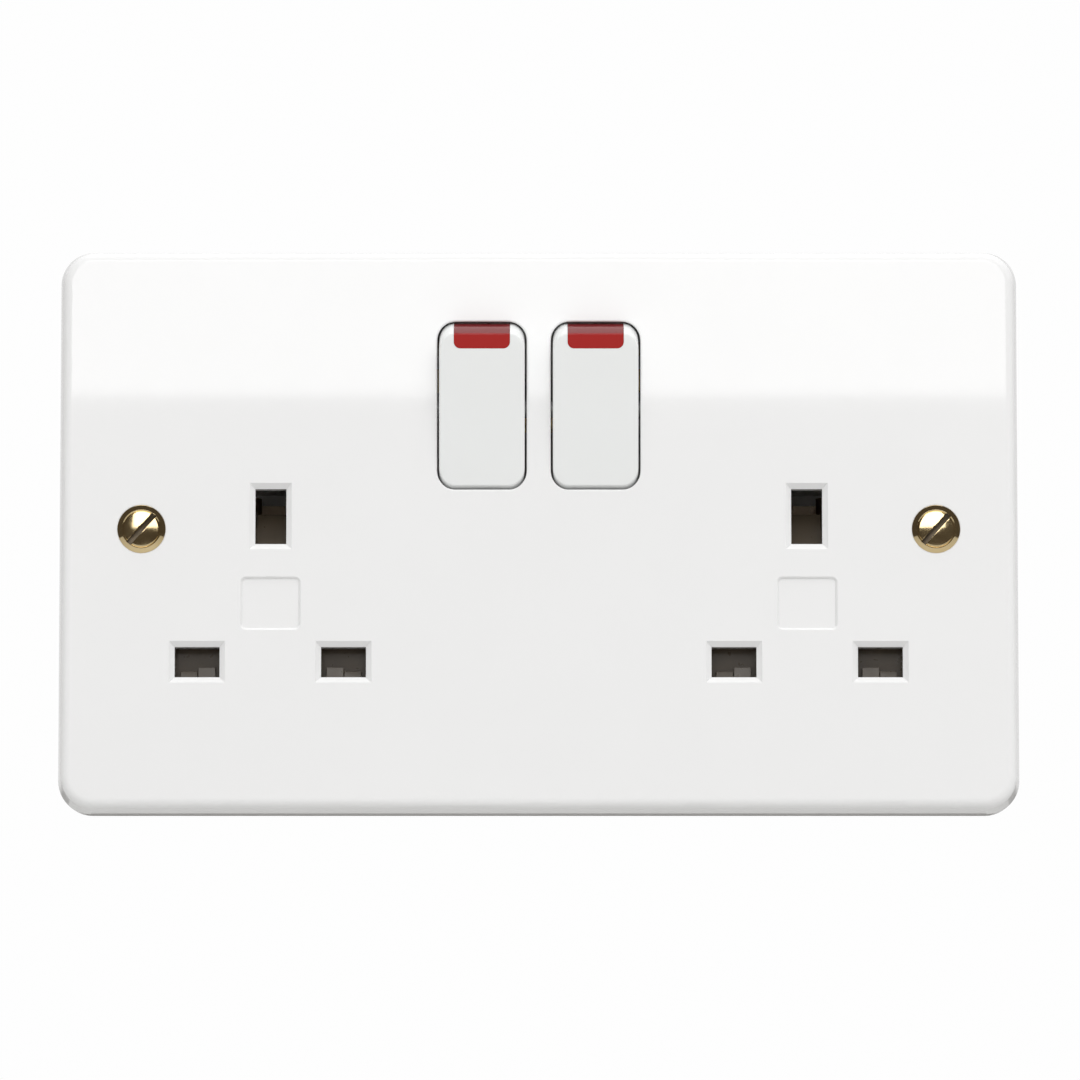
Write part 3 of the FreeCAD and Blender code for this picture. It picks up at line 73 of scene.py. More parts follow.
# The photo's middle, as a place on the plate's front face
LOOK_AT = Vector((0.19 * MM, FACE_Y, -1.67 * MM))


def make_camera():
    data = bpy.data.cameras.new("camera")
    data.lens = FOCAL_LENGTH
    data.sensor_width = SENSOR
    data.clip_start = NEAREST
    data.clip_end = FARTHEST
    camera = bpy.data.objects.new("camera", data)
    scene.collection.objects.link(camera)
    distance = PHOTO_PIXELS / PIXELS_PER_METRE * FOCAL_LENGTH / SENSOR
    sight = Vector((0, math.cos(VIEW_ELEVATION), -math.sin(VIEW_ELEVATION)))
    camera.location = LOOK_AT - sight * distance
    camera.rotation_mode = "QUATERNION"
    camera.rotation_quaternion = sight.to_track_quat("-Z", "Y")
    scene.camera = camera


# Light and surroundings

BACKDROP = (0.99, 0.99, 0.99, 1)
FILL_COLOUR = (1, 0.995, 0.99, 1)
# The fill's strength for light from below and from above, and the heights between which it changes
FILL_STRENGTH = (0.426, 0.88)
FILL_HEIGHTS = (-0.3, 0.7)
# Mirrors show a dim room in front of the object, and the backdrop from these depths and heights on
ROOM_COLOUR = (0.07, 0.06, 0.05, 1)
BACKDROP_DEPTHS = (0.1, 1.3)
BACKDROP_HEIGHTS = (-0.08, 0.02)
KEY_PLACE = (0.55, -1.0, 1.1)
KEY_SIZE = 1.1
KEY_POWER = 6
SOFTBOX_DISTANCE = 1.5
SOFTBOX_WIDTH = 0.84
SOFTBOX_HEIGHT = 0.9
SOFTBOX_STRENGTH = 3.1
OVERHEAD_SIZE = (1.1, 0.9)
OVERHEAD_Z = 1.6
OVERHEAD_STRENGTH = 1.9
# Photo rows: the softbox's lower edge as mirrored in the plate, and the line through the fixing screws
SOFTBOX_EDGE_ROW = 395
SCREW_ROW = 529
FLOOR_COLOUR = (0.64, 0.64, 0.63, 1)
FLOOR_ROUGHNESS = 0.9
FLOOR_SIZE = 6
FLOOR_Z = -0.75


def card(name, centre, width, height, facing, material):
    """A flat studio card, part of the surroundings."""
    mesh = bpy.data.meshes.new(name)
    right = width / 2
    top = height / 2
    corners = [(-right, -top, 0), (right, -top, 0), (right, top, 0), (-right, top, 0)]
    mesh.from_pydata(corners, [], [(0, 1, 2, 3)])
    mesh.materials.append(material)
    thing = bpy.data.objects.new(name, mesh)
    scene.collection.objects.link(thing)
    thing.rotation_mode = "QUATERNION"
    thing.rotation_quaternion = Vector(facing).to_track_quat("Z", "Y")
    thing.location = centre


def glow(strength):
    material = bpy.data.materials.new("glow")
    material.use_nodes = True
    nodes = material.node_tree.nodes
    nodes.clear()
    emission = nodes.new("ShaderNodeEmission")
    emission.inputs["Strength"].default_value = strength
    out = nodes.new("ShaderNodeOutputMaterial")
    material.node_tree.links.new(emission.outputs["Emission"], out.inputs["Surface"])
    return material


def floor_material():
    material, shader = new_material("floor_paper")
    shader.inputs["Base Color"].default_value = FLOOR_COLOUR
    shader.inputs["Roughness"].default_value = FLOOR_ROUGHNESS
    return material


def make_world():
    """White to the camera, a fill that is stronger from above, and a dim room in front for mirrors."""
    world = bpy.data.worlds.new("studio")
    world.use_nodes = True
    scene.world = world
    nodes = world.node_tree.nodes
    link = world.node_tree.links.new
    nodes.clear()

    def background(colour, strength=1):
        node = nodes.new("ShaderNodeBackground")
        node.inputs["Color"].default_value = colour
        node.inputs["Strength"].default_value = strength
        return node

    def mix(factor, first, second):
        node = nodes.new("ShaderNodeMixShader")
        link(factor, node.inputs["Fac"])
        link(first, node.inputs[1])
        link(second, node.inputs[2])
        return node.outputs["Shader"]

    def ramp(value, source, result=(0, 1)):
        node = nodes.new("ShaderNodeMapRange")
        node.inputs["From Min"].default_value, node.inputs["From Max"].default_value = source
        node.inputs["To Min"].default_value, node.inputs["To Max"].default_value = result
        link(value, node.inputs["Value"])
        return node.outputs["Result"]

    direction = nodes.new("ShaderNodeTexCoord")
    parts = nodes.new("ShaderNodeSeparateXYZ")
    link(direction.outputs["Generated"], parts.inputs["Vector"])
    fill = background(FILL_COLOUR)
    link(ramp(parts.outputs["Z"], FILL_HEIGHTS, FILL_STRENGTH), fill.inputs["Strength"])
    room = background(ROOM_COLOUR).outputs["Background"]
    white = background(BACKDROP).outputs["Background"]
    backdrop_share = nodes.new("ShaderNodeMath")
    backdrop_share.operation = "MULTIPLY"
    link(ramp(parts.outputs["Y"], BACKDROP_DEPTHS), backdrop_share.inputs[0])
    link(ramp(parts.outputs["Z"], BACKDROP_HEIGHTS), backdrop_share.inputs[1])
    mirrored = mix(backdrop_share.outputs["Value"], room, white)

    path = nodes.new("ShaderNodeLightPath")
    seen = nodes.new("ShaderNodeMath")
    seen.operation = "MAXIMUM"
    link(path.outputs["Is Camera Ray"], seen.inputs[0])
    link(path.outputs["Is Transmission Ray"], seen.inputs[1])
    around = mix(path.outputs["Is Glossy Ray"], fill.outputs["Background"], mirrored)
    out = nodes.new("ShaderNodeOutputWorld")
    link(mix(seen.outputs["Value"], around, white), out.inputs["Surface"])


def make_key_light():
    data = bpy.data.lights.new("key", "AREA")
    data.size = KEY_SIZE
    data.energy = KEY_POWER
    key = bpy.data.objects.new("key", data)
    scene.collection.objects.link(key)
    key.location = KEY_PLACE
    key.rotation_mode = "QUATERNION"
    key.rotation_quaternion = (-Vector(KEY_PLACE)).to_track_quat("-Z", "Y")
    key.visible_glossy = False


def make_studio():
    """The world, a softbox whose lower edge the plate mirrors, a card overhead, a floor and a light."""
    make_world()
    eye = scene.camera.location
    edge_up = (SCREW_ROW - SOFTBOX_EDGE_ROW) / PIXELS_PER_METRE
    rise = (edge_up - eye.z) / (FACE_Y - eye.y)
    middle = edge_up + rise * SOFTBOX_DISTANCE + SOFTBOX_HEIGHT / 2
    centre = (0, FACE_Y - SOFTBOX_DISTANCE, middle)
    card("softbox", centre, SOFTBOX_WIDTH, SOFTBOX_HEIGHT, (0, 1, 0), glow(SOFTBOX_STRENGTH))
    card("overhead", (0, 0, OVERHEAD_Z), *OVERHEAD_SIZE, (0, 0, -1), glow(OVERHEAD_STRENGTH))
    card("floor", (0, 0, FLOOR_Z), FLOOR_SIZE, FLOOR_SIZE, (0, 0, 1), floor_material())
    make_key_light()


# Materials

EDGE_SAMPLES = 4
# The part of the noise's values that is spread over a range
NOISE_RANGE = (0.3, 0.7)
# The depth of a moulded skin's grain, and of the streaks in worked metal
SKIN_DEPTH = 0.02 * MM
WORKED_DEPTH = 0.03 * MM
GLOSS_DETAIL = 2
STREAK_DETAIL = 5
# How much finer than its mottling a plastic's gloss varies
GLOSS_FINENESS = 4
METAL_MOTTLE_SCALE = 300


def new_material(name="finish"):
    material = bpy.data.materials.new(name)
    material.use_nodes = True
    return material, material.node_tree.nodes["Principled BSDF"]


def noise(material, scale, detail=3, stretch=None):
    """Noise in the object's own coordinates; scale is in features to the metre."""
    nodes = material.node_tree.nodes
    link = material.node_tree.links.new
    source = nodes.new("ShaderNodeTexCoord").outputs["Object"]
    if stretch:
        mapping = nodes.new("ShaderNodeMapping")
        mapping.inputs["Scale"].default_value = stretch
        link(source, mapping.inputs["Vector"])
        source = mapping.outputs["Vector"]
    texture = nodes.new("ShaderNodeTexNoise")
    texture.inputs["Scale"].default_value = scale
    texture.inputs["Detail"].default_value = detail
    link(source, texture.inputs["Vector"])
    return texture.outputs["Fac"]


def spread(material, value, low, high):
    """Turns a noise value into a number between low and high."""
    node = material.node_tree.nodes.new("ShaderNodeMapRange")
    node.inputs["From Min"].default_value, node.inputs["From Max"].default_value = NOISE_RANGE
    node.inputs["To Min"].default_value = low
    node.inputs["To Max"].default_value = high
    material.node_tree.links.new(value, node.inputs["Value"])
    return node.outputs["Result"]


def mottled(material, shader, scale, first, second):
    """Two near colours in slow clouds."""
    node = material.node_tree.nodes.new("ShaderNodeMix")
    node.data_type = "RGBA"
    node.inputs["A"].default_value = (*first, 1)
    node.inputs["B"].default_value = (*second, 1)
    link = material.node_tree.links.new
    link(spread(material, noise(material, scale), 0, 1), node.inputs["Factor"])
    link(node.outputs["Result"], shader.inputs["Base Color"])


def relief(material, shader, value, strength, depth, edge=0):
    """Fine relief from a noise value, over edges that are eased by a radius where one is given."""
    nodes = material.node_tree.nodes
    link = material.node_tree.links.new
    bump = nodes.new("ShaderNodeBump")
    bump.inputs["Strength"].default_value = strength
    bump.inputs["Distance"].default_value = depth
    link(value, bump.inputs["Height"])
    if edge:
        eased = nodes.new("ShaderNodeBevel")
        eased.samples = EDGE_SAMPLES
        eased.inputs["Radius"].default_value = edge
        link(eased.outputs["Normal"], bump.inputs["Normal"])
    link(bump.outputs["Normal"], shader.inputs["Normal"])


def moulded_plastic(light, dark, roughness, mottle_scale, grain=0.02, grain_scale=4000, edge=0.1 * MM):
    """Moulded plastic: faint mottling in its colour, uneven gloss, a fine skin and eased edges."""
    material, shader = new_material()
    mottled(material, shader, mottle_scale, light, dark)
    gloss = noise(material, mottle_scale * GLOSS_FINENESS, detail=GLOSS_DETAIL)
    material.node_tree.links.new(spread(material, gloss, *roughness), shader.inputs["Roughness"])
    relief(material, shader, noise(material, grain_scale, detail=GLOSS_DETAIL), grain, SKIN_DEPTH, edge)
    return material


def metal(light, dark, roughness, streak_scale, stretch=(1, 1, 1), grain=0.05):
    """Metal with streaked gloss from how it was worked."""
    material, shader = new_material()
    shader.inputs["Metallic"].default_value = 1
    mottled(material, shader, METAL_MOTTLE_SCALE, light, dark)
    streaks = noise(material, streak_scale, detail=STREAK_DETAIL, stretch=stretch)
    material.node_tree.links.new(spread(material, streaks, *roughness), shader.inputs["Roughness"])
    relief(material, shader, streaks, grain, WORKED_DEPTH)
    return material


# The windows' red, and a darker red painted on their upper side as painted shade
RED = (0.4, 0.028, 0.026)
SHADED_RED = (0.2, 0.02, 0.022)
# How fast the painted shade darkens the red as a surface turns upward
UPWARD_SHADING = 1.3
RED_CLOUD_SCALE = 220
RED_CLOUDS = (-0.08, 0.08)
RED_GLOSS_SCALE = 900
RED_ROUGHNESS = (0.06, 0.12)
RED_GRAIN = 0.02


def clear_red():
    """Clear red plastic, polished, with painted shade: a darker red on surfaces that face upward."""
    material, shader = new_material()
    nodes = material.node_tree.nodes
    link = material.node_tree.links.new
    normal = nodes.new("ShaderNodeSeparateXYZ")
    link(nodes.new("ShaderNodeTexCoord").outputs["Normal"], normal.inputs["Vector"])
    # The share of painted shade, greater the more a surface faces upward, with faint random clouds
    depth = nodes.new("ShaderNodeMath")
    depth.operation = "MULTIPLY_ADD"
    depth.use_clamp = True
    cloud = spread(material, noise(material, RED_CLOUD_SCALE), *RED_CLOUDS)
    link(normal.outputs["Z"], depth.inputs[0])
    depth.inputs[1].default_value = UPWARD_SHADING
    link(cloud, depth.inputs[2])
    tint = nodes.new("ShaderNodeMix")
    tint.data_type = "RGBA"
    tint.inputs["A"].default_value = (*RED, 1)
    tint.inputs["B"].default_value = (*SHADED_RED, 1)
    link(depth.outputs["Value"], tint.inputs["Factor"])
    link(tint.outputs["Result"], shader.inputs["Base Color"])
    gloss = noise(material, RED_GLOSS_SCALE, detail=GLOSS_DETAIL)
    link(spread(material, gloss, *RED_ROUGHNESS), shader.inputs["Roughness"])
    relief(material, shader, gloss, RED_GRAIN, SKIN_DEPTH)
    return material


GLASS_MOTTLE_SCALE = 400
GLASS_COLOURS = ((0.9, 0.86, 0.82), (0.98, 0.95, 0.92))
GLASS_CLEARNESS = 0.85
GLASS_ROUGHNESS = 0.06
GLASS_IOR = 1.47


def lamp_glass():
    material, shader = new_material()
    mottled(material, shader, GLASS_MOTTLE_SCALE, *GLASS_COLOURS)
    shader.inputs["Transmission Weight"].default_value = GLASS_CLEARNESS
    shader.inputs["Roughness"].default_value = GLASS_ROUGHNESS
    shader.inputs["IOR"].default_value = GLASS_IOR
    return material


# Each plastic's two near colours, roughness from and to, mottling in clouds to the metre, and skin
PLASTICS = {
    "plate_white": {
        "light": (0.905, 0.905, 0.905),
        "dark": (0.895, 0.895, 0.895),
        "roughness": (0.022, 0.032),
        "mottle_scale": 60,
        "grain": 0.006,
    },
    "rocker_white": {
        "light": (0.88, 0.893, 0.888),
        "dark": (0.87, 0.882, 0.876),
        "roughness": (0.16, 0.22),
        "mottle_scale": 90,
    },
    "housing_plastic": {
        "light": (0.79, 0.78, 0.755),
        "dark": (0.765, 0.755, 0.73),
        "roughness": (0.42, 0.5),
        "mottle_scale": 120,
        "grain": 0.25,
        "grain_scale": 2500,
    },
    "shutter_dark": {
        "light": (0.062, 0.045, 0.027),
        "dark": (0.055, 0.04, 0.024),
        "roughness": (0.27, 0.33),
        "mottle_scale": 200,
        "grain": 0.1,
    },
    "plunger_nylon": {
        "light": (0.76, 0.74, 0.68),
        "dark": (0.7, 0.68, 0.62),
        "roughness": (0.35, 0.5),
        "mottle_scale": 300,
    },
    "resistor_body": {
        "light": (0.6, 0.46, 0.3),
        "dark": (0.52, 0.38, 0.24),
        "roughness": (0.3, 0.45),
        "mottle_scale": 400,
        "grain": 0.2,
    },
}

# Each metal's two near colours, roughness from and to, and streaks to the metre
METALS = {
    "polished_brass": {
        "light": (0.82, 0.655, 0.38),
        "dark": (0.73, 0.57, 0.31),
        "roughness": (0.08, 0.16),
        "streak_scale": 900,
        "grain": 0.04,
    },
    "terminal_brass": {
        "light": (0.76, 0.58, 0.3),
        "dark": (0.66, 0.48, 0.22),
        "roughness": (0.24, 0.4),
        "streak_scale": 500,
        "stretch": (1, 1, 0.1),
        "grain": 0.15,
    },
    "strip_brass": {
        "light": (0.7, 0.52, 0.27),
        "dark": (0.6, 0.42, 0.2),
        "roughness": (0.22, 0.36),
        "streak_scale": 400,
        "stretch": (1, 1, 0.15),
    },
    # Brass darkened as painted shade, for the earth strip deep inside the socket
    "painted_shade_brass": {
        "light": (0.42, 0.34, 0.26),
        "dark": (0.34, 0.27, 0.2),
        "roughness": (0.25, 0.4),
        "streak_scale": 400,
        "stretch": (1, 1, 0.15),
    },
    # Very dark brass for the screws' slot floors, as painted shade in the slots
    "slot_shade_brass": {
        "light": (0.13, 0.105, 0.075),
        "dark": (0.1, 0.08, 0.055),
        "roughness": (0.35, 0.5),
        "streak_scale": 900,
    },
    "contact_silver": {
        "light": (0.82, 0.82, 0.8),
        "dark": (0.7, 0.7, 0.68),
        "roughness": (0.2, 0.34),
        "streak_scale": 900,
    },
    "zinc_steel": {
        "light": (0.66, 0.67, 0.69),
        "dark": (0.55, 0.56, 0.58),
        "roughness": (0.26, 0.4),
        "streak_scale": 900,
    },
    "spring_steel": {
        "light": (0.56, 0.56, 0.57),
        "dark": (0.42, 0.42, 0.43),
        "roughness": (0.25, 0.4),
        "streak_scale": 900,
    },
}


def make_materials():
    """One material for each of the record's slots, and two kinds of brass darkened as painted shade, by name."""
    finishes = {"lens_red": clear_red(), "lamp_glass": lamp_glass()}
    for slot, values in PLASTICS.items():
        finishes[slot] = moulded_plastic(**values)
    for slot, values in METALS.items():
        finishes[slot] = metal(**values)
    for slot, material in finishes.items():
        material.name = f"{slot}_finish"
    return finishes


SMOOTH_LIMIT = math.radians(30)
MERGE_DISTANCE = 0.001 * MM
SHUTTER_EDGE = 0.18 * MM
SHUTTER_EDGE_STEPS = 3
SHUTTER_EDGE_LIMIT = math.radians(40)
# Full weight to the large faces, so that flat faces stay flat beside rounded edges
FACE_WEIGHT = 100


def geometry_group(name):
    """A node group for a modifier, with the geometry that comes in and the one that goes out."""
    group = bpy.data.node_groups.new(name, "GeometryNodeTree")
    for way in ("INPUT", "OUTPUT"):
        group.interface.new_socket("Geometry", in_out=way, socket_type="NodeSocketGeometry")
    came_in = group.nodes.new("NodeGroupInput").outputs["Geometry"]
    goes_out = group.nodes.new("NodeGroupOutput").inputs["Geometry"]
    return group, came_in, goes_out


def smooth_shading():
    """A node group that shades smooth wherever faces meet at a gentle angle."""
    group, came_in, goes_out = geometry_group("smooth_shading")
    merge = group.nodes.new("GeometryNodeMergeByDistance")
    merge.inputs["Distance"].default_value = MERGE_DISTANCE
    faces = group.nodes.new("GeometryNodeSetShadeSmooth")
    faces.domain = "FACE"
    angle = group.nodes.new("GeometryNodeInputMeshEdgeAngle")
    gentle = group.nodes.new("FunctionNodeCompare")
    gentle.operation = "LESS_THAN"
    gentle.inputs["B"].default_value = SMOOTH_LIMIT
    edges = group.nodes.new("GeometryNodeSetShadeSmooth")
    edges.domain = "EDGE"
    link = group.links.new
    link(came_in, merge.inputs["Geometry"])
    link(merge.outputs["Geometry"], faces.inputs["Geometry"])
    link(faces.outputs["Geometry"], edges.inputs["Geometry"])
    link(angle.outputs["Unsigned Angle"], gentle.inputs["A"])
    link(gentle.outputs["Result"], edges.inputs["Shade Smooth"])
    link(edges.outputs["Geometry"], goes_out)
    return group


FORWARD = (0, -1, 0)
# How squarely a face must look forward to count as flat, as a cosine
FLAT_LIMIT = math.cos(math.radians(0.25))
# How far a flat face's corner may lean before it belongs to a rounded edge, as a cosine
ROUNDING_LIMIT = math.cos(math.radians(9))


def flat_front():
    """A node group that shades forward faces as flat, right up to the rounded edges beside them."""
    group, came_in, goes_out = geometry_group("flat_front")
    link = group.links.new
    normals = group.nodes.new("GeometryNodeInputNormal").outputs

    def looks_forward(normal, limit):
        """Whether a normal is nearer to straight forward than the limit's cosine."""
        facing = group.nodes.new("ShaderNodeVectorMath")
        facing.operation = "DOT_PRODUCT"
        facing.inputs[1].default_value = FORWARD
        link(normal, facing.inputs[0])
        node = group.nodes.new("FunctionNodeCompare")
        node.operation = "GREATER_THAN"
        node.inputs["B"].default_value = limit
        link(facing.outputs["Value"], node.inputs["A"])
        return node.outputs["Result"]

    def on_domain(value, domain):
        """A true or false value as the faces or the points see it."""
        node = group.nodes.new("GeometryNodeFieldOnDomain")
        node.data_type = "BOOLEAN"
        node.domain = domain
        link(value, node.inputs["Value"])
        return node.outputs["Value"]

    both = group.nodes.new("FunctionNodeBooleanMath")
    both.operation = "AND"
    flat = on_domain(looks_forward(normals["True Normal"], FLAT_LIMIT), "FACE")
    link(on_domain(flat, "POINT"), both.inputs[0])
    link(looks_forward(normals["Normal"], ROUNDING_LIMIT), both.inputs[1])
    chosen = group.nodes.new("GeometryNodeSwitch")
    chosen.input_type = "VECTOR"
    chosen.inputs["True"].default_value = FORWARD
    link(both.outputs["Boolean"], chosen.inputs["Switch"])
    link(normals["Normal"], chosen.inputs["False"])
    kept = group.nodes.new("GeometryNodeSetMeshNormal")
    kept.mode = "FREE"
    kept.domain = "CORNER"
    link(came_in, kept.inputs["Mesh"])
    link(chosen.outputs["Output"], kept.inputs["Custom Normal"])
    link(kept.outputs["Mesh"], goes_out)
    return group


def ease_edges(thing, width, segments, limit):
    bevel = thing.modifiers.new("eased", "BEVEL")
    bevel.width = width
    bevel.segments = segments
    bevel.limit_method = "ANGLE"
    bevel.angle_limit = limit


def dress_cad_nodes(materials):
    """Gives each solid its slot's material and smooth shading. The earth strip's brass is darkened as painted
    shade deep in the socket.
    """
    shading = smooth_shading()
    slots = {row["node"]: row["material_slot"] for row in frame["record"]["subparts"]}
    # The earth strip takes brass darkened as painted shade
    slots["earth_strip"] = "painted_shade_brass"
    for name, node in frame["nodes"].items():
        for material_slot in node.material_slots:
            material_slot.material = materials[slots[name]]
        node.modifiers.new("shading", "NODES").node_group = shading
        if slots[name] == "shutter_dark":
            ease_edges(node, SHUTTER_EDGE, SHUTTER_EDGE_STEPS, SHUTTER_EDGE_LIMIT)
        normals = node.modifiers.new("normals", "WEIGHTED_NORMAL")
        normals.keep_sharp = True
        normals.weight = FACE_WEIGHT
    frame["nodes"]["front_plate"].modifiers.new("flat_front", "NODES").node_group = flat_front()


# Meshes


def ring_faces(first, sides):
    """The faces between the ring of vertices that starts at first and the ring after it."""
    faces = []
    for side in range(sides):
        following = (side + 1) % sides
        faces.append((first + side, first + sides + side, first + sides + following, first + following))
    return faces


def tube_mesh(name, rings):
    """A closed solid through rings of as many vertices each, with flat ends."""
    sides = len(rings[0])
    verts = [spot for spots in rings for spot in spots]
    faces = [tuple(range(sides)), tuple(len(verts) - 1 - side for side in range(sides))]
    for row in range(len(rings) - 1):
        faces += ring_faces(row * sides, sides)
    mesh = bpy.data.meshes.new(name)
    mesh.from_pydata(verts, [], faces)
    shape = bmesh.new()
    shape.from_mesh(mesh)
    bmesh.ops.recalc_face_normals(shape, faces=shape.faces)
    shape.to_mesh(mesh)
    shape.free()
    mesh.shade_smooth()
    return mesh


def ring(radius, depth, segments):
    """Vertices of a circle about the Y axis."""
    angles = [segment / segments * math.tau for segment in range(segments)]
    return [(radius * math.cos(angle), depth, radius * math.sin(angle)) for angle in angles]


def add_piece(name, mesh, material, place=Matrix.Identity(4)):
    thing = bpy.data.objects.new(name, mesh)
    scene.collection.objects.link(thing)
    mesh.materials.append(material)
    thing.matrix_world = place
    return thing


def joined(name, meshes):
    """One mesh from several, each copied to the places where it stands."""
    shape = bmesh.new()
    for mesh, places in meshes:
        for place in places:
            copy = mesh.copy()
            copy.transform(place)
            shape.from_mesh(copy)
            bpy.data.meshes.remove(copy)
    whole = bpy.data.meshes.new(name)
    shape.to_mesh(whole)
    shape.free()
    return whole


# Round-wire springs

WIRE_SIDES = 10
SPRING_TURNS = 6
STEPS_PER_TURN = 28
# How much of a turn lies closed at each end
DEAD_TURNS = 0.85
SHUTTER_SPRING_RADIUS = 0.75 * MM
SHUTTER_WIRE_RADIUS = 0.175 * MM
PLUNGER_SPRING_RADIUS = 1.5 * MM
PLUNGER_WIRE_RADIUS = 0.2 * MM
PLUNGER_SPRING_LENGTH = 5.08 * MM
# How far in front of the rocker's pivot the spring begins, and how the rocker leans at rest
PLUNGER_SPRING_NEAR = -5.1 * MM
ROCKER_TILT = math.radians(7)


def coil_mesh(name, radius, wire_radius, length):
    """A compression spring along Z from the origin, with a closed turn at each end."""
    steps = SPRING_TURNS * STEPS_PER_TURN
    coil_rise = 2 * wire_radius
    free_rise = length - coil_rise - 2 * coil_rise * DEAD_TURNS
    rings = []
    for step in range(steps + 1):
        turned = step / STEPS_PER_TURN
        free = min(max((turned - DEAD_TURNS) / (SPRING_TURNS - 2 * DEAD_TURNS), 0), 1)
        dead = min(turned, DEAD_TURNS) + max(turned - (SPRING_TURNS - DEAD_TURNS), 0)
        rise = wire_radius + dead * coil_rise + free * free_rise
        angle = turned * math.tau
        outward = Vector((math.cos(angle), math.sin(angle), 0))
        wire = []
        for side in range(WIRE_SIDES):
            around = side / WIRE_SIDES * math.tau
            spot = outward * (radius + wire_radius * math.cos(around))
            spot.z = rise + wire_radius * math.sin(around)
            wire.append(spot)
        rings.append(wire)
    return tube_mesh(name, rings)


def make_springs(materials):
    """The shutters' return springs, and the springs behind the plungers in the rockers."""
    pivots = {joint["name"]: joint["pos_m"] for joint in frame["joints"] if joint["type"] == "hinge"}
    for side in SIDES:
        low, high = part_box(f"{side}_shutter_spring")
        foot = Vector(((low.x + high.x) / 2, (low.y + high.y) / 2, low.z))
        name = f"{side}_shutter_spring_wire"
        mesh = coil_mesh(name, SHUTTER_SPRING_RADIUS, SHUTTER_WIRE_RADIUS, high.z - low.z)
        spring = add_piece(mesh.name, mesh, materials["spring_steel"], Matrix.Translation(foot))
        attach(spring, "root")
        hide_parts(f"{side}_shutter_spring")
        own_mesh(spring)

        name = f"{side}_plunger_spring_wire"
        mesh = coil_mesh(name, PLUNGER_SPRING_RADIUS, PLUNGER_WIRE_RADIUS, PLUNGER_SPRING_LENGTH)
        place = (
            Matrix.Translation(pivots[f"{side}_rocker_pivot"])
            @ Matrix.Rotation(ROCKER_TILT, 4, "X")
            @ Matrix.Translation((0, PLUNGER_SPRING_NEAR, 0))
            @ Matrix.Rotation(math.radians(-90), 4, "X")
        )
        spring = add_piece(mesh.name, mesh, materials["spring_steel"], place)
        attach(spring, f"{side}_rocker")
        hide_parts(f"{side}_plunger_spring")


# Threaded and slotted screws

THREAD_SEGMENTS = 36
ROWS_PER_TURN = 6
THREAD_PITCH = 0.6 * MM
THREAD_CREST = 1.75 * MM
THREAD_CORE = 1.4 * MM
# The turns over which a thread fades at each end
RUN_OUT_TURNS = 1.2
# How steeply a ridge rises from the core to its narrow crest
RIDGE_STEEPNESS = 2.3
DRIVER_SLOT_WIDTH = 0.85 * MM
DRIVER_SLOT_DEPTH = 0.9 * MM
SLOT_TURN = math.radians(-48)
# How far from the slot's middle its floor may reach, as a share of its width
SLOT_SHARE = 0.52
HEAD_EASE_STEPS = 2
EASED_LIMIT = math.radians(28)
HEAD_SMOOTH_LIMIT = math.radians(32)


def threaded_rod(name, start, stop):
    """A rod along Y from start to stop with a right-handed thread that runs out at both ends."""
    turns = (stop - start) / THREAD_PITCH
    rows = round(turns * ROWS_PER_TURN)
    rings = []
    for row in range(rows + 1):
        share = row / rows
        depth = start + (stop - start) * share
        ends = min(1, share * turns / RUN_OUT_TURNS, (1 - share) * turns / RUN_OUT_TURNS)
        spots = []
        for segment in range(THREAD_SEGMENTS):
            turn = segment / THREAD_SEGMENTS
            phase = (depth / THREAD_PITCH + turn) % 1
            ridge = min(1, RIDGE_STEEPNESS * (0.5 - abs(phase - 0.5)))
            radius = THREAD_CORE + (THREAD_CREST - THREAD_CORE) * ridge * ends
            spots.append((radius * math.cos(turn * math.tau), depth, radius * math.sin(turn * math.tau)))
        rings.append(spots)
    return tube_mesh(name, rings)


def slot_cutter(top, along, length):
    """A block that cuts a driver slot into a head, down from its top."""
    mesh = bpy.data.meshes.new("slot_cutter")
    shape = bmesh.new()
    bmesh.ops.create_cube(shape, size=1)
    shape.to_mesh(mesh)
    shape.free()
    cutter = bpy.data.objects.new("slot_cutter", mesh)
    scene.collection.objects.link(cutter)
    size = Matrix.Diagonal((length, 2 * DRIVER_SLOT_DEPTH, DRIVER_SLOT_WIDTH, 1))
    cutter.matrix_world = Matrix.Translation((0, top, 0)) @ along @ size
    return cutter


def finish_head(mesh, floor_depth, floor_band, along):
    """Shades a head smooth up to its sharp edges, and gives its slot's floor the second material, dark brass as
    painted shade.
    """
    shape = bmesh.new()
    shape.from_mesh(mesh)
    for face in shape.faces:
        face.smooth = True
        middle = along.inverted() @ face.calc_center_median()
        in_slot = abs(middle.z) < DRIVER_SLOT_WIDTH * SLOT_SHARE
        on_floor = abs(middle.y - floor_depth) < floor_band
        face.material_index = 1 if in_slot and on_floor else 0
    for edge in shape.edges:
        edge.smooth = edge.calc_face_angle(0) < HEAD_SMOOTH_LIMIT
    shape.to_mesh(mesh)
    shape.free()


def slotted_head(name, rings, top, inward, slot_length, ease):
    """A head turned from rings, with a driver slot cut into its top and its sharp edges eased."""
    head = bpy.data.objects.new(name, tube_mesh(name, rings))
    scene.collection.objects.link(head)
    along = Matrix.Rotation(SLOT_TURN * inward, 4, "Y")
    cutter = slot_cutter(top, along, slot_length)
    cut = head.modifiers.new("slot", "BOOLEAN")
    cut.operation = "DIFFERENCE"
    cut.solver = "EXACT"
    cut.object = cutter
    ease_edges(head, ease, HEAD_EASE_STEPS, EASED_LIMIT)
    bpy.context.view_layer.update()
    evaluated = head.evaluated_get(bpy.context.evaluated_depsgraph_get())
    mesh = bpy.data.meshes.new_from_object(evaluated)
    bpy.data.objects.remove(cutter)
    bpy.data.objects.remove(head)
    mesh.name = name
    finish_head(mesh, top + DRIVER_SLOT_DEPTH * inward, 2 * ease, along)
    return mesh


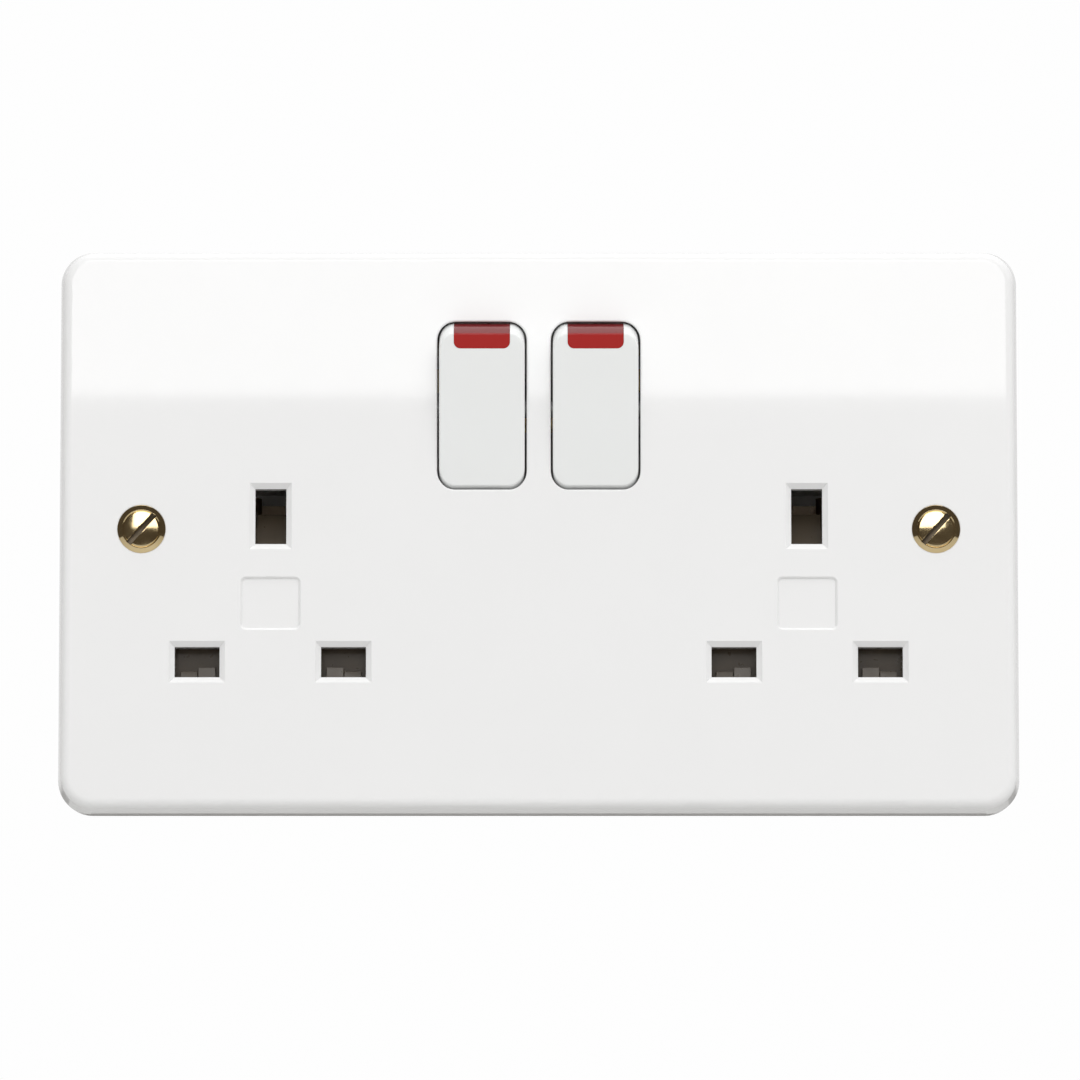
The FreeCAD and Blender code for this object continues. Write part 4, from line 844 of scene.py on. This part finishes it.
FIXING_X = 60.3 * MM
HEAD_RADIUS = 3.65 * MM
HEAD_DEPTH = 2.05 * MM
DISC_RADIUS = 2.7 * MM
DISC_RISE = 0.25 * MM
DISC_STEPS = 14
# The radius of the smallest ring, in the middle of a head, as a share of the whole
DISC_MIDDLE = 0.02
GROOVE_RADIUS = 2.78 * MM
GROOVE_DEPTH = 0.12 * MM
RING_RISE = 0.35 * MM
RING_CREST = 2.95 * MM
RING_STEPS = 8
# The power by which the ring falls away, where one is a straight cone
RING_CURVE = 1.05
FIXING_EASE = 0.05 * MM
FIXING_SLOT = 5.9 * MM
NECK_RADIUS = 1.4 * MM
NECK_END = 1.2 * MM
FIXING_THREAD = (1 * MM, 15.875 * MM)
FIXING_SEGMENTS = 96


def make_fixing_screws(materials):
    """The two raised countersunk screws: domed disc, groove, sloping ring, plain neck and thread."""
    shoulder = FACE_Y - RING_RISE
    profile = []
    for step in range(DISC_STEPS + 1):
        share = max(step / DISC_STEPS, DISC_MIDDLE)
        profile.append((DISC_RADIUS * share, shoulder - DISC_RISE * (1 - share * share)))
    profile.append((GROOVE_RADIUS, shoulder + GROOVE_DEPTH))
    for step in range(RING_STEPS + 1):
        share = step / RING_STEPS
        radius = RING_CREST + (HEAD_RADIUS - RING_CREST) * share
        profile.append((radius, shoulder + RING_RISE * share**RING_CURVE))
    profile += [(NECK_RADIUS, FACE_Y + HEAD_DEPTH), (NECK_RADIUS, NECK_END)]
    rings = [ring(radius, depth, FIXING_SEGMENTS) for radius, depth in profile]
    head = slotted_head("fixing_head", rings, shoulder - DISC_RISE, 1, FIXING_SLOT, FIXING_EASE)
    thread = threaded_rod("fixing_thread", *FIXING_THREAD)
    places = [Matrix.Translation((FIXING_X * sign, 0, 0)) for sign in SIDES.values()]
    mesh = joined("fixing_screws_cut", [(head, places), (thread, places)])
    screws = add_piece(mesh.name, mesh, materials["polished_brass"])
    # The second material darkens the slot floors as painted shade
    mesh.materials.append(materials["slot_shade_brass"])
    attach(screws, "root")
    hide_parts("fixing_screws")


TERMINAL_PITCH = 14 * MM
# Each terminal's place across the housing in pitches, and how far its screw is turned
TERMINAL_STEPS = (-1.5, -0.5, 0.5, 1.5)
TERMINAL_TURNS = [math.radians(turn) for turn in (0, 34, -27, 71)]
TERMINAL_HEAD_RADIUS = 2.7 * MM
TERMINAL_HEAD_THICKNESS = 1.6 * MM
TERMINAL_CROWN = 0.15 * MM
TERMINAL_NECK_RADIUS = 1.45 * MM
TERMINAL_SEGMENTS = 64
# Where the crown's slope changes, as shares of the head's radius and of the crown's height
CROWN_RADIUS_SHARE = 0.7
CROWN_HEIGHT_SHARE = 0.2
TERMINAL_SLOT = 8.1 * MM
TERMINAL_EASE = 0.08 * MM


def make_terminal_screws(materials):
    """The four terminal screws: slotted cheese heads over short threads."""
    low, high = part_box("terminal_screws")
    top = high.y
    under = top - TERMINAL_HEAD_THICKNESS
    profile = [
        (TERMINAL_HEAD_RADIUS * DISC_MIDDLE, top),
        (TERMINAL_HEAD_RADIUS * CROWN_RADIUS_SHARE, top - TERMINAL_CROWN * CROWN_HEIGHT_SHARE),
        (TERMINAL_HEAD_RADIUS - TERMINAL_CROWN, top - TERMINAL_CROWN),
        (TERMINAL_HEAD_RADIUS, top - TERMINAL_CROWN * 2),
        (TERMINAL_HEAD_RADIUS, under),
        (TERMINAL_NECK_RADIUS, under),
    ]
    rings = [ring(radius, depth, TERMINAL_SEGMENTS) for radius, depth in profile]
    head = slotted_head("terminal_head", rings, top, -1, TERMINAL_SLOT, TERMINAL_EASE)
    thread = threaded_rod("terminal_thread", low.y, under)
    middle_z = (low.z + high.z) / 2
    places = []
    for step, turn in zip(TERMINAL_STEPS, TERMINAL_TURNS):
        place = Matrix.Translation((TERMINAL_PITCH * step, 0, middle_z))
        places.append(place @ Matrix.Rotation(turn, 4, "Y"))
    mesh = joined("terminal_screws_cut", [(head, places), (thread, places)])
    screws = add_piece(mesh.name, mesh, materials["terminal_brass"])
    # The second material darkens the slot floors as painted shade
    mesh.materials.append(materials["slot_shade_brass"])
    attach(screws, "root")
    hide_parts("terminal_screws")


make_camera()
make_studio()
materials = make_materials()
dress_cad_nodes(materials)
make_springs(materials)
make_fixing_screws(materials)
make_terminal_screws(materials)
